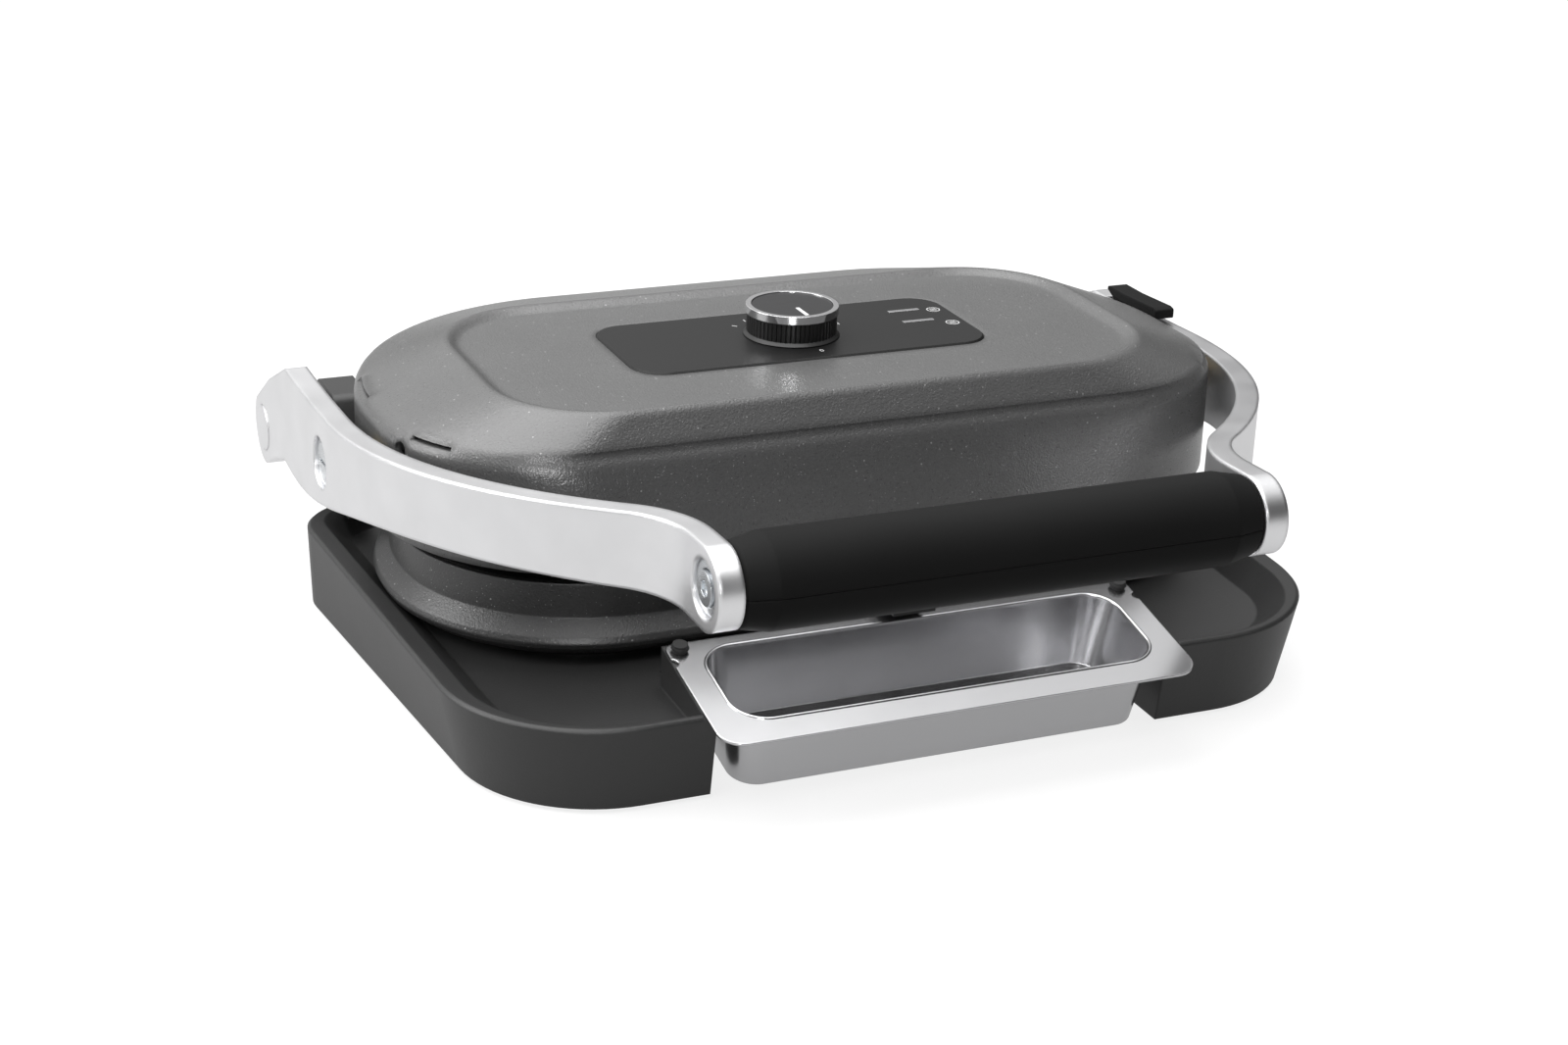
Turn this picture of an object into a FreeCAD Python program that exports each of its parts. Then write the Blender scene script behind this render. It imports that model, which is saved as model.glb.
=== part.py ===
import FreeCAD, Part
import math
import os
import re

# Contact grill, millimetres. X points right, Y to the back, Z up.
# The origin lies on the table, under the middle of the closed grill.

V = FreeCAD.Vector

SIZES = {
    # running and seating clearances
    "seat_gap": 0.25,
    "shaft_gap": 0.06,
    "hole_gap": 0.15,
    "seam_gap": 0.2,
    # base shell
    "base_edge_z": 2.0,
    "base_rim_z": 37.0,
    "base_front": 127.0,
    "base_back": 150.0,
    "base_shoulder_y": 116.0,
    "base_shoulder_radius": 28.0,
    "base_tail_half": 105.0,
    "base_tail_radius": 60.0,
    "base_half_front": 181.5,
    "base_half_back": 194.6,
    "base_front_radius": 62.0,
    "base_foot_front": 121.4,
    "base_foot_half_front": 173.0,
    "base_foot_half_back": 194.0,
    "base_foot_front_radius": 55.0,
    "rim_bevel": 1.2,
    "base_wall": 3.0,
    "rim_width": 3.0,
    "rim_side_width": 8.3,
    "dish_depth": 9.0,
    "dish_slope": 11.0,
    "bay_half": 95.6,
    "bay_back": 66.0,
    "ledge_thickness": 4.5,
    "cover_thickness": 2.0,
    "cover_vent_pitch": 10.0,
    "cover_vent_width": 3.0,
    "cover_vent_length": 60.0,
    "foot_radius": 9.0,
    "foot_stem_radius": 6.0,
    "foot_height": 4.0,
    "foot_x": 148.0,
    "foot_front_y": 84.0,
    "foot_back_y": 96.0,
    # lower housing
    "housing_bottom_z": 31.0,
    "roll_z": 37.5,
    "crease_z": 46.0,
    "housing_top_z": 60.5,
    "housing_wall": 2.5,
    "housing_floor": 2.0,
    "ledge_width": 6.0,
    "ledge_height": 4.0,
    "housing_front": 50.5,
    "housing_widening": 5.0,
    "housing_back": 137.0,
    "housing_front_radius": 75.0,
    "housing_back_radius": 108.0,
    "roll_reach": 6.5,
    "roll_gap": 1.9,
    "roll_land": 3.0,
    "roll_bevel": 1.2,
    # cooking plates
    "plate_thickness": 5.0,
    "rib_height": 3.0,
    "rib_width": 5.0,
    "rib_pitch": 12.0,
    "rib_count": 25,
    "groove_inset": 4.0,
    "groove_width": 8.0,
    "groove_depth": 2.5,
    "cooking_gap": 5.0,
    "spout_half": 9.0,
    "spout_tip": 93.0,
    "spout_z": 50.0,
    "spout_wall": 2.0,
    "spout_gap": 1.5,
    "spout_overlap": 12.0,
    # heating elements
    "element_radius": 3.3,
    "element_half": 105.0,
    "element_front": 22.0,
    "element_back": 102.0,
    "element_bend": 22.0,
    "tail_inset": 50.0,
    "pan_half": 124.0,
    "pan_front": 36.0,
    "pan_back": 112.0,
    "pan_front_radius": 30.0,
    "pan_back_radius": 40.0,
    "pan_depth": 9.0,
    "pan_sheet": 0.8,
    # lid
    "lid_edge_z": 69.0,
    "lid_gap": 5.55,
    "lid_shoulder_z": 112.5,
    "lid_ridge_z": 126.5,
    "lid_recess_depth": 2.5,
    "lid_front_edge": 61.5,
    "lid_front_shoulder": 48.5,
    "lid_back": 154.5,
    "lid_front_radius_edge": 84.0,
    "lid_front_radius": 66.0,
    "lid_back_radius": 115.0,
    "lid_wall": 2.5,
    "lid_inner_steps": 3,
    "lid_shoulder_round": 7.0,
    "vent_z": 111.8,
    "vent_height": 1.7,
    "vent_rear_front_y": 42.0,
    "vent_rear_length": 25.0,
    "vent_corner_start": 22.2,
    "vent_corner_sweep": 18.6,
    "vent_hole_radius": 3.3,
    "vent_hole_y": 3.0,
    "vent_hole_z": 106.8,
    "ridge_half": 143.0,
    "ridge_front": 40.0,
    "ridge_back": 101.0,
    "ridge_radius": 46.0,
    "ridge_width": 5.0,
    "brim_inset": 1.5,
    # control panel and knob
    "panel_half": 79.3,
    "panel_front_y": 2.5,
    "panel_back_y": 68.2,
    "panel_radius": 13.8,
    "panel_top_z": 124.75,
    "panel_thickness": 3.0,
    "panel_bevel": 0.8,
    "panel_lip": 4.0,
    "panel_plate": 1.8,
    "panel_tub_depth": 4.2,
    "knob_y": 35.7,
    "knob_top_z": 137.9,
    "knob_radius": 19.0,
    "knob_foot_radius": 20.4,
    "knob_lift": 0.3,
    "knob_foot_height": 1.3,
    "knob_wall": 2.5,
    "knob_hub_radius": 6.0,
    "knob_ring_outer": 19.62,
    "knob_ring_inner": 17.2,
    "knob_ring_height": 3.4,
    "knob_disc_height": 0.7,
    "knob_disc_drop": 1.05,
    "pointer_width": 1.6,
    "pointer_length": 10.8,
    "pointer_reach": 16.1,
    "pointer_gap": 0.1,
    "knob_flutes": 60,
    "knob_flute_depth": 0.5,
    "shaft_radius": 3.0,
    "case_length": 34.0,
    "case_width": 30.0,
    "case_height": 16.0,
    "lamp_x": 59.5,
    "lamp_pitch": 15.0,
    "lamp_y": 51.0,
    "lamp_length": 14.5,
    "lamp_width": 2.4,
    # arms
    "arm_thickness": 9.5,
    "arm_inset": 1.1,
    "arm_crank": 88.9,
    "arm_bend_start": 40.0,
    "arm_bend_angle": 50.0,
    "arm_nose_radius": 44.0,
    "arm_nose_y": 155.5,
    "arm_nose_z": 102.0,
    "arm_nose_boss": 15.8,
    "arm_front_reach": 45.5,
    "arm_front_rise": 13.5,
    "arm_saddle_y": 76.5,
    "arm_saddle_rise": 7.5,
    "arm_seat_y": 58.5,
    "arm_seat_rise": 3.0,
    "arm_heel_reach": 14.5,
    "arm_heel_rise": 27.0,
    "arm_tail_reach": 21.5,
    "arm_tail_drop": 7.0,
    "arm_bend_reach": 39.5,
    "arm_bend_drop": 1.0,
    "arm_belly_y": 7.5,
    "arm_belly_drop": 20.0,
    "arm_waist_y": 38.5,
    "arm_waist_drop": 9.0,
    "arm_neck_reach": 95.5,
    "arm_neck_drop": 18.0,
    "arm_chin_reach": 37.5,
    "arm_chin_drop": 16.0,
    "hinge_y": 157.5,
    "hinge_z": 63.0,
    "hinge_boss": 16.0,
    "hinge_pin_radius": 5.0,
    "hinge_cap_radius": 10.0,
    "cap_height": 2.2,
    "cap_seat": 2.0,
    "pivot_y": 52.5,
    "pivot_z": 84.0,
    "pivot_radius": 4.0,
    "pivot_head": 8.0,
    "pivot_reach": 12.0,
    "pivot_head_height": 1.8,
    "pivot_slot_width": 1.6,
    "pivot_slot_length": 9.0,
    "recess_radius": 11.0,
    "recess_depth": 3.0,
    "bush_radius": 7.0,
    "bracket_inset": 7.5,
    "bracket_thickness": 3.0,
    "bracket_length": 32.0,
    "bracket_height": 22.0,
    "bracket_front": 25.0,
    "bracket_drop": 6.0,
    # grip
    "grip_taper_x": 92.0,
    "grip_radius": 18.0,
    "grip_end_radius": 15.6,
    "grip_wall": 3.0,
    "core_radius": 7.0,
    "grip_bolt_radius": 3.0,
    "grip_bolt_head": 6.5,
    "grip_bolt_reach": 18.0,
    "grip_bolt_head_height": 2.6,
    # drip tray
    "tray_front_y": 145.5,
    "tray_front_z": 33.5,
    "tray_tilt": 11.0,
    "tray_half": 100.0,
    "tray_length": 66.0,
    "tray_corner": 10.0,
    "tray_lip": 12.4,
    "tray_side_lip": 11.1,
    "tray_basin": 48.0,
    "tray_depth": 32.5,
    "tray_draft": 3.4,
    "tray_sheet": 1.0,
    "notch_radius": 2.5,
    "notch_place": 53.0,
    "stud_radius": 3.0,
    "stud_height": 3.2,
    "stud_inset": 5.0,
    # hinge towers and release lever
    "tower_width": 15.0,
    "tower_inset": 34.6,
    "tower_back_inset": 2.0,
    "tower_back_low": 12.0,
    "tower_back_high": 8.0,
    "tower_front_y": 112.0,
    "tower_foot_front_y": 102.0,
    "tower_foot_back_y": 121.0,
    "tower_top_z": 86.0,
    "tower_boss": 14.0,
    "gland_x": 110.0,
    "gland_z": 20.0,
    "gland_radius": 6.0,
    "gland_length": 16.0,
    "gland_wall": 2.5,
    "gland_flange": 4.0,
    "block_length": 46.0,
    "block_width": 22.0,
    "block_height": 14.0,
    "block_x": 67.0,
    "block_y": 71.0,
    "lever_y": 92.0,
    "lever_tip_y": 54.0,
    "lever_reach": 6.0,
    "lever_tip_height": 6.2,
    "lever_back_height": 4.9,
    "lever_clearance": 0.45,
    "lever_relief": 3.2,
    "lever_seat_z": 106.3,
    "lever_width": 9.4,
    "lever_leg": 4.4,
    "lever_leg_length": 8.0,
    "lever_leg_depth": 7.5,
    "lever_slot_gap": 0.3,
    "lever_slot_length": 17.0,
    "lever_pin_radius": 1.5,
    "lever_pin_depth": 4.0,
}

# sizes that follow from others: the arms stand over the base's sides, the lid between the arms,
# and the lower housing inside the lip of the rim
FOLLOWING = {
    "arm_x": "base_half_back - arm_inset",
    "lid_half": "arm_x - arm_thickness/2 - lid_gap",
    "grip_half": "arm_x - arm_crank",
    "tower_inner_x": "base_half_back - tower_inset",
    "housing_middle": "(housing_front_radius - housing_front + housing_back - housing_back_radius)/2",
    "rim_half_middle": "base_half_front + (base_half_back - base_half_front)"
                       "*(housing_middle + base_front)/(base_front + base_shoulder_y)",
    "housing_half_front": "rim_half_middle - rim_side_width - roll_gap - roll_reach"
                          " - housing_widening*(housing_middle + housing_front)"
                          "/(housing_front + housing_back)",
    "housing_half_back": "housing_half_front + housing_widening",
}

doc = FreeCAD.newDocument("contact_grill")
sheet = doc.addObject("Spreadsheet::Sheet", "sizes")
for row, (alias, number) in enumerate(SIZES.items(), start=1):
    sheet.set("A%d" % row, alias.replace("_", " "))
    sheet.set("B%d" % row, str(number))
    sheet.setAlias("B%d" % row, alias)
for row, (alias, text) in enumerate(FOLLOWING.items(), start=len(SIZES) + 1):
    sheet.set("A%d" % row, alias.replace("_", " "))
    sheet.set("B%d" % row, "=" + text)
    sheet.setAlias("B%d" % row, alias)
doc.recompute()

nodes = {}


def v(alias):
    """Value of one driving dimension, read from the sheet."""
    return float(getattr(sheet, alias))


def formula(text):
    """Expression text with each driving dimension named through the sheet."""
    def name(found):
        word = found.group()
        return "sizes." + word if word in SIZES or word in FOLLOWING else word

    return re.sub(r"[a-z][a-z_]*", name, text)


def bind(item, prop, text):
    item.setExpression(prop, formula(text))


def place(item, x=None, y=None, z=None, rotation=None):
    """Position bound to the sheet, with a fixed turn."""
    if rotation is not None:
        item.Placement = FreeCAD.Placement(V(0, 0, 0), rotation)
    for axis, text in (("x", x), ("y", y), ("z", z)):
        if text is not None:
            bind(item, "Placement.Base." + axis, text)


def node(name, item):
    item.Label = name
    nodes[name] = item
    return item


ALONG_X = FreeCAD.Rotation(V(0, 1, 0), 90)
ALONG_Y = FreeCAD.Rotation(V(1, 0, 0), -90)


def cylinder(radius, height, x="0", y="0", z="0", rotation=None):
    item = doc.addObject("Part::Cylinder", "round_part")
    bind(item, "Radius", radius)
    bind(item, "Height", height)
    place(item, x, y, z, rotation)
    return item


def box(length, width, height, x="0", y="0", z="0"):
    item = doc.addObject("Part::Box", "block")
    bind(item, "Length", length)
    bind(item, "Width", width)
    bind(item, "Height", height)
    place(item, x, y, z)
    return item


def cone(radius_low, radius_high, height, x="0", y="0", z="0", rotation=None):
    item = doc.addObject("Part::Cone", "taper")
    bind(item, "Radius1", radius_low)
    bind(item, "Radius2", radius_high)
    bind(item, "Height", height)
    place(item, x, y, z, rotation)
    return item


def fuse(*items):
    item = doc.addObject("Part::MultiFuse", "joined")
    item.Shapes = list(items)
    return item


def cut(base, *tools):
    item = doc.addObject("Part::Cut", "trimmed")
    item.Base = base
    item.Tool = tools[0] if len(tools) == 1 else fuse(*tools)
    return item


def common(first, second):
    item = doc.addObject("Part::MultiCommon", "overlap")
    item.Shapes = [first, second]
    return item


def mirror_x(base):
    item = doc.addObject("Part::Mirroring", "mirrored")
    item.Source = base
    item.Normal = V(1, 0, 0)
    return item


def group(*items):
    item = doc.addObject("Part::Compound", "set")
    item.Links = list(items)
    return item


def new_body(name):
    return doc.addObject("PartDesign::Body", name)


def plane_of(body, role):
    return [p for p in body.Origin.OriginFeatures if p.Role == role][0]


def sketch(body, edges, role="XY_Plane", offset="0"):
    """Closed sketch on one of the body's planes, raised by an offset."""
    item = body.newObject("Sketcher::SketchObject", "outline")
    item.AttachmentSupport = [(plane_of(body, role), "")]
    item.MapMode = "FlatFace"
    bind(item, "AttachmentOffset.Base.z", offset)
    item.addGeometry(edges, False)
    return item


def fillet_corner(before, corner, after, radius):
    """Start, middle and end of the arc that rounds one corner of an outline."""
    a = (before - corner).normalize()
    b = (after - corner).normalize()
    half = a.getAngle(b) / 2
    centre = corner + (a + b).normalize() * (radius / math.sin(half))
    inward = (corner - centre).normalize()
    reach = radius / math.tan(half)
    return corner + a * reach, centre + inward * radius, corner + b * reach


def rounded(corners, radii):
    """Lines and arcs of a polygon with rounded corners; radius 0 leaves a corner sharp."""
    count = len(corners)
    points = [V(*c) if len(c) == 3 else V(c[0], c[1], 0) for c in corners]
    ends = []
    for i, radius in enumerate(radii):
        if radius > 0:
            ends.append(fillet_corner(points[i - 1], points[i], points[(i + 1) % count], radius))
        else:
            ends.append((points[i], None, points[i]))
    edges = []
    for i in range(count):
        start, middle, end = ends[i]
        if middle is not None:
            edges.append(Part.Arc(start, middle, end))
        following = ends[(i + 1) % count][0]
        if (following - end).Length > 1e-6:
            edges.append(Part.LineSegment(end, following))
    return edges


def plan(half_front, half_back, front, back, front_radius, back_radius, inset=0.0):
    """Plan of a tub that widens to the back: mirror-symmetric, all four corners round."""
    hf = half_front - inset
    hb = half_back - inset
    corners = [(-hf, -front + inset), (hf, -front + inset), (hb, back - inset), (-hb, back - inset)]
    rf = max(front_radius - inset, 1.0)
    rb = max(back_radius - inset, 1.0)
    return rounded(corners, [rf, rf, rb, rb])


def loft(body, kind, low, high):
    item = body.newObject("PartDesign::" + kind, "loft")
    item.Profile = low
    item.Sections = [high]
    item.Ruled = True
    item.Refine = False
    return item


def pad(body, outline, length, reverse=False):
    item = body.newObject("PartDesign::Pad", "pad")
    item.Profile = outline
    bind(item, "Length", length)
    item.Reversed = reverse
    return item


def pocket(body, outline, length, reverse=False):
    item = body.newObject("PartDesign::Pocket", "pocket")
    item.Profile = outline
    bind(item, "Length", length)
    item.Reversed = reverse
    return item


def soften(body, base, size, keep):
    """Even bevel on the edges of the last feature that keep() picks."""
    doc.recompute()
    item = body.newObject("PartDesign::Chamfer", "soft_edge")
    item.Base = (base, ["Edge%d" % (i + 1) for i, edge in enumerate(base.Shape.Edges) if keep(edge)])
    bind(item, "Size", size)
    return item


def level(edge, z, slack=0.01):
    box_of = edge.BoundBox
    return abs(box_of.ZMin - z) < slack and abs(box_of.ZMax - z) < slack


def bevel(body, base, at_top, drop, reach):
    """Bevel round one end of a prism: drop along its wall, reach across its end face."""
    doc.recompute()
    end = base.Shape.BoundBox.ZMax if at_top else base.Shape.BoundBox.ZMin
    item = body.newObject("PartDesign::Chamfer", "bevel")
    item.Base = (base, ["Edge%d" % (i + 1) for i, edge in enumerate(base.Shape.Edges) if level(edge, end)])
    item.ChamferType = "Two distances"
    bind(item, "Size", drop)
    bind(item, "Size2", reach)
    return item


def prism(name, edges, low, height):
    """Upright prism on a closed outline: its body and its pad."""
    body = new_body(name)
    return body, pad(body, sketch(body, edges, offset=low), height)


# Base shell: an undercut tub with a dished top, open at the front for the tray

def tub_plan(half_front, half_back, front, front_radius, side, end):
    """Base outline: straight front, sides that widen to the back, then two slopes up to a short tail."""
    hf, hb = half_front - side, half_back - side
    tail, back, shoulder = v("base_tail_half"), v("base_back") - end, v("base_shoulder_y") - end
    corners = [(-hf, -front + end), (hf, -front + end), (hb, shoulder), (tail, back), (-tail, back),
               (-hb, shoulder)]
    near = front_radius - max(side, end)
    mid = max(v("base_shoulder_radius") - side, 6.0)
    far = v("base_tail_radius")
    return rounded(corners, [near, near, mid, far, far, mid])


def rim_plan(side, end=None):
    return tub_plan(v("base_half_front"), v("base_half_back"), v("base_front"), v("base_front_radius"), side,
                    side if end is None else end)


def foot_plan(inset):
    return tub_plan(v("base_foot_half_front"), v("base_foot_half_back"), v("base_foot_front"),
                    v("base_foot_front_radius"), inset, inset)


def make_base_shell():
    body = new_body("base_tub")
    rings = [sketch(body, foot_plan(0), offset="base_edge_z"),
             sketch(body, rim_plan(0), offset="base_rim_z - rim_bevel"),
             sketch(body, rim_plan(v("rim_bevel")), offset="base_rim_z")]
    skin = body.newObject("PartDesign::AdditiveLoft", "skin")
    skin.Profile = rings[0]
    skin.Sections = rings[1:]
    skin.Ruled = True
    skin.Refine = False
    dish, bowl = prism("base_dish", rim_plan(v("rim_side_width"), v("rim_width")), "base_rim_z - dish_depth",
                       "dish_depth + 1")
    bevel(dish, bowl, False, "dish_depth", "dish_slope")
    hollow, _ = prism("base_hollow", foot_plan(v("base_wall")), "base_edge_z - 1",
                      "base_rim_z - base_edge_z - dish_depth - base_wall + 1")
    keep_bay = box("2*bay_half + 2*base_wall", "base_front - bay_back + base_wall", "base_rim_z",
                   "-bay_half - base_wall", "-base_front", "0")
    posts = [cylinder("foot_radius - 1", "base_rim_z", x, y, "foot_height + base_edge_z - 0.3")
             for x, y in FOOT_PLACES]
    gland = cylinder("gland_radius + hole_gap", "30", "-gland_x", "base_back - 20", "gland_z", ALONG_Y)
    return cut(body, dish), cut(hollow, keep_bay, *posts), gland


def make_runners():
    """Sloped ledges on both sides of the bay, which carry the tray's side flanges."""
    rise = math.tan(math.radians(v("tray_tilt")))
    front = -v("base_front") + v("rim_width")
    back = -v("tray_front_y") + v("tray_length")
    sheet_under = v("tray_front_z") - v("tray_sheet") - v("seat_gap")
    floor = v("base_rim_z") - v("dish_depth") - 1.0

    def height(y):
        return sheet_under + (y + v("tray_front_y")) * rise

    body = new_body("runner")
    edges = rounded([(front, floor), (back, floor), (back, height(back)), (front, height(front))], [0] * 4)
    side = sketch(body, edges, "YZ_Plane", "bay_half")
    pad(body, side, "ledge_thickness")
    wedge = new_body("flange_room")
    far, near = -v("base_front") - 5, front + 8
    room = rounded([(far, height(far)), (near, height(near)), (near, height(near) + 20),
                    (far, height(far) + 20)],
                   [0] * 4)
    pad(wedge, sketch(wedge, room, "YZ_Plane", "-tray_half - 0.6"), "2*tray_half + 1.2")
    return body, wedge


def base_shell():
    tub, hollow, gland = make_base_shell()
    runner, wedge = make_runners()
    joined = fuse(tub, runner, mirror_x(runner))
    bay = box("2*bay_half", "base_front - bay_back + 5", "base_rim_z + 30", "-bay_half", "-base_front - 5",
              "-1")
    node("base_shell", cut(joined, hollow, bay, wedge, gland))


def bottom_cover():
    body = new_body("cover_plate")
    outline = sketch(body, foot_plan(v("base_wall") + 3 * v("hole_gap")), offset="base_edge_z")
    pad(body, outline, "cover_thickness")
    gap = box("2*bay_half + 2*base_wall + 2*hole_gap", "base_front - bay_back + base_wall + hole_gap", "20",
              "-bay_half - base_wall - hole_gap", "-base_front", "-5")
    vents = [box("cover_vent_length", "cover_vent_width", "20", "-cover_vent_length/2",
                 "%d*cover_vent_pitch" % i, "-5")
             for i in range(7)]
    holes = [cylinder("foot_stem_radius", "20", x, y, "-5") for x, y in FOOT_PLACES]
    node("bottom_cover", cut(body, gap, *vents, *holes))


FOOT_PLACES = [("foot_x", "-foot_front_y"), ("-foot_x", "-foot_front_y"),
               ("foot_x", "foot_back_y"), ("-foot_x", "foot_back_y")]


def rubber_feet():
    feet = []
    for x, y in FOOT_PLACES:
        disc = cylinder("foot_radius", "base_edge_z", x, y, "0")
        stem = cylinder("foot_stem_radius - hole_gap", "foot_height", x, y, "base_edge_z - 0.5")
        feet.append(fuse(disc, stem))
    node("rubber_feet", group(*feet))


# Lower housing: a vertical band above a rolled-out skirt

def housing_plan(inset):
    return plan(v("housing_half_front"), v("housing_half_back"), v("housing_front"), v("housing_back"),
                v("housing_front_radius"), v("housing_back_radius"), inset)


def lower_housing():
    body, skirt = prism("housing_skin", housing_plan(-v("roll_reach")), "housing_bottom_z",
                        "crease_z - housing_bottom_z")
    skirt = bevel(body, skirt, True, "crease_z - roll_z - roll_land/2", "roll_reach")
    skirt = bevel(body, skirt, False, "roll_z - roll_land/2 - housing_bottom_z", "roll_reach")
    land = (v("roll_z") - v("roll_land") / 2, v("roll_z") + v("roll_land") / 2)
    soften(body, skirt, "roll_bevel", lambda e: level(e, land[0]) or level(e, land[1]))
    band = sketch(body, housing_plan(0), offset="crease_z")
    pad(body, band, "housing_top_z - crease_z")
    inner = sketch(body, housing_plan(v("housing_wall")), offset="housing_top_z")
    pocket(body, inner, "plate_thickness + seat_gap")
    ledge = sketch(body, housing_plan(v("housing_wall") + v("ledge_width")), offset="housing_top_z")
    pocket(body, ledge, "housing_top_z - housing_bottom_z - housing_floor")
    cavity, _ = prism("housing_cavity", housing_plan(v("housing_wall")), "housing_bottom_z + housing_floor",
                      "housing_top_z - plate_thickness - ledge_height - housing_bottom_z - housing_floor")
    spout = box("2*spout_half + 2*spout_gap", "30", "20", "-spout_half - spout_gap", "-housing_front - 15",
                "spout_z - spout_gap/2")
    neck, _ = prism("housing_neck", housing_plan(v("ledge_width")), "base_rim_z - dish_depth + seat_gap",
                    "housing_bottom_z + housing_floor/2 - base_rim_z + dish_depth - seat_gap")
    core, _ = prism("neck_core", housing_plan(2 * v("ledge_width")), "base_rim_z - dish_depth",
                    "housing_bottom_z - base_rim_z + dish_depth")
    neck = cut(neck, core)
    node("lower_housing", cut(fuse(body, neck), cavity, spout))


# Cooking plates: slabs with parallel ribs and a drain groove round the edge

def rib_row(outline_edges, bottom):
    """Parallel ribs along Y, their ends cut to a plan outline."""
    rib = box("rib_width", "2*base_back", "rib_height + 1", "-rib_pitch*(rib_count - 1)/2 - rib_width/2",
              "-base_back", bottom)
    row = doc.addObject("Part::Feature", "ribs")
    doc.recompute()
    bars = []
    for i in range(int(v("rib_count"))):
        bar = rib.Shape.copy()
        bar.translate(V(i * v("rib_pitch"), 0, 0))
        bars.append(bar)
    row.Shape = Part.makeCompound(bars)
    limit = new_body("rib_limit")
    pad(limit, sketch(limit, outline_edges, offset=bottom), "rib_height + 1")
    return common(row, limit)


def lower_plate():
    body = new_body("lower_slab")
    edge = v("housing_wall") + v("hole_gap")
    outline = sketch(body, housing_plan(edge), offset="housing_top_z - plate_thickness")
    pad(body, outline, "plate_thickness")
    groove = new_body("lower_groove")
    ring = sketch(groove, housing_plan(edge + v("groove_inset")), offset="housing_top_z - groove_depth")
    pad(groove, ring, "2*groove_depth")
    middle = new_body("lower_middle")
    field = edge + v("groove_inset") + v("groove_width")
    block = sketch(middle, housing_plan(field), offset="housing_top_z - groove_depth - 1")
    pad(middle, block, "groove_depth + 1")
    spout = box("2*spout_half", "spout_tip - housing_front + spout_overlap",
                "housing_top_z - spout_z - groove_depth",
                "-spout_half", "-spout_tip", "spout_z")
    channel = box("2*spout_half - 2*spout_wall", "spout_tip - housing_front + spout_overlap",
                  "housing_top_z - spout_z",
                  "-spout_half + spout_wall", "-spout_tip - 1", "spout_z + spout_wall")
    slab = cut(fuse(body, spout), cut(groove, middle), channel)
    ribs = rib_row(housing_plan(field + 1), "housing_top_z - 1")
    node("lower_plate", fuse(slab, ribs))


def lid_level_plan(z, inset):
    """Plan of the lid's steep wall at a height, its front leaning back as it rises."""
    share = (z - v("lid_edge_z")) / (v("lid_shoulder_z") - v("lid_edge_z"))
    front = v("lid_front_edge") + (v("lid_front_shoulder") - v("lid_front_edge")) * share
    radius = v("lid_front_radius_edge") + (v("lid_front_radius") - v("lid_front_radius_edge")) * share
    return plan(v("lid_half"), v("lid_half"), front, v("lid_back"), radius, v("lid_back_radius"), inset)


def lid_step_z(step):
    """Height of one step inside the lid, counted up from its lower edge."""
    rise = v("lid_shoulder_z") - v("lid_edge_z") - v("lid_shoulder_round")
    return v("lid_edge_z") + rise * step / int(v("lid_inner_steps"))


def upper_plate():
    body = new_body("upper_slab")
    outline = sketch(body, lid_level_plan(lid_step_z(1), v("lid_wall") + v("seat_gap")),
                     offset="housing_top_z + 2*rib_height + cooking_gap")
    pad(body, outline, "plate_thickness")
    field = v("housing_wall") + v("hole_gap") + v("groove_inset") + v("groove_width") + 1
    ribs = rib_row(housing_plan(field), "housing_top_z + rib_height + cooking_gap")
    node("upper_plate", fuse(body, ribs))


def element(name, height):
    """Bent heating tube, pressed six-sided: a loop with rounded corners and two tails to the back."""
    body = new_body(name + "_tube")
    half, front, back, bend = v("element_half"), v("element_front"), v("element_back"), v("element_bend")
    tail = half - v("tail_inset")
    corners = [V(tail, back, 0), V(half, back, 0), V(half, -front, 0), V(-half, -front, 0), V(-half, back, 0),
               V(-tail, back, 0)]
    edges = []
    start = corners[0]
    for i in range(1, len(corners) - 1):
        first, middle, last = fillet_corner(corners[i - 1], corners[i], corners[i + 1], bend)
        edges.append(Part.LineSegment(start, first))
        edges.append(Part.Arc(first, middle, last))
        start = last
    edges.append(Part.LineSegment(start, corners[-1]))
    path = sketch(body, edges, offset=height)
    section = body.newObject("Sketcher::SketchObject", "section")
    section.AttachmentSupport = [(plane_of(body, "YZ_Plane"), "")]
    section.MapMode = "FlatFace"
    bind(section, "AttachmentOffset.Base.z", "element_half - tail_inset")
    bind(section, "AttachmentOffset.Base.x", "element_back")
    bind(section, "AttachmentOffset.Base.y", height)
    rim = [V(0, v("element_radius"), 0)]
    for i in range(1, 6):
        rim.append(FreeCAD.Rotation(V(0, 0, 1), 60 * i).multVec(rim[0]))
    section.addGeometry([Part.LineSegment(rim[i - 1], rim[i]) for i in range(6)], False)
    pipe = body.newObject("PartDesign::AdditivePipe", "tube")
    pipe.Profile = section
    pipe.Spine = path
    node(name, body)


def reflector(name, floor_z, open_up):
    """Shallow pressed pan behind a heating element."""
    body = new_body(name + "_pan")
    outline = plan(v("pan_half"), v("pan_half"), v("pan_front"), v("pan_back"),
                   v("pan_front_radius"), v("pan_back_radius"))
    base = sketch(body, outline, offset=floor_z)
    pad(body, base, "pan_depth")
    inner = plan(v("pan_half"), v("pan_half"), v("pan_front"), v("pan_back"),
                 v("pan_front_radius"), v("pan_back_radius"), v("pan_sheet"))
    top = floor_z + " + pan_depth" if open_up else floor_z
    hollow = sketch(body, inner, offset=top)
    pocket(body, hollow, "pan_depth - pan_sheet", reverse=not open_up)
    node(name, body)


# Lid: steep wall, round shoulder, sloping band, ridge and recessed top

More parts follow.
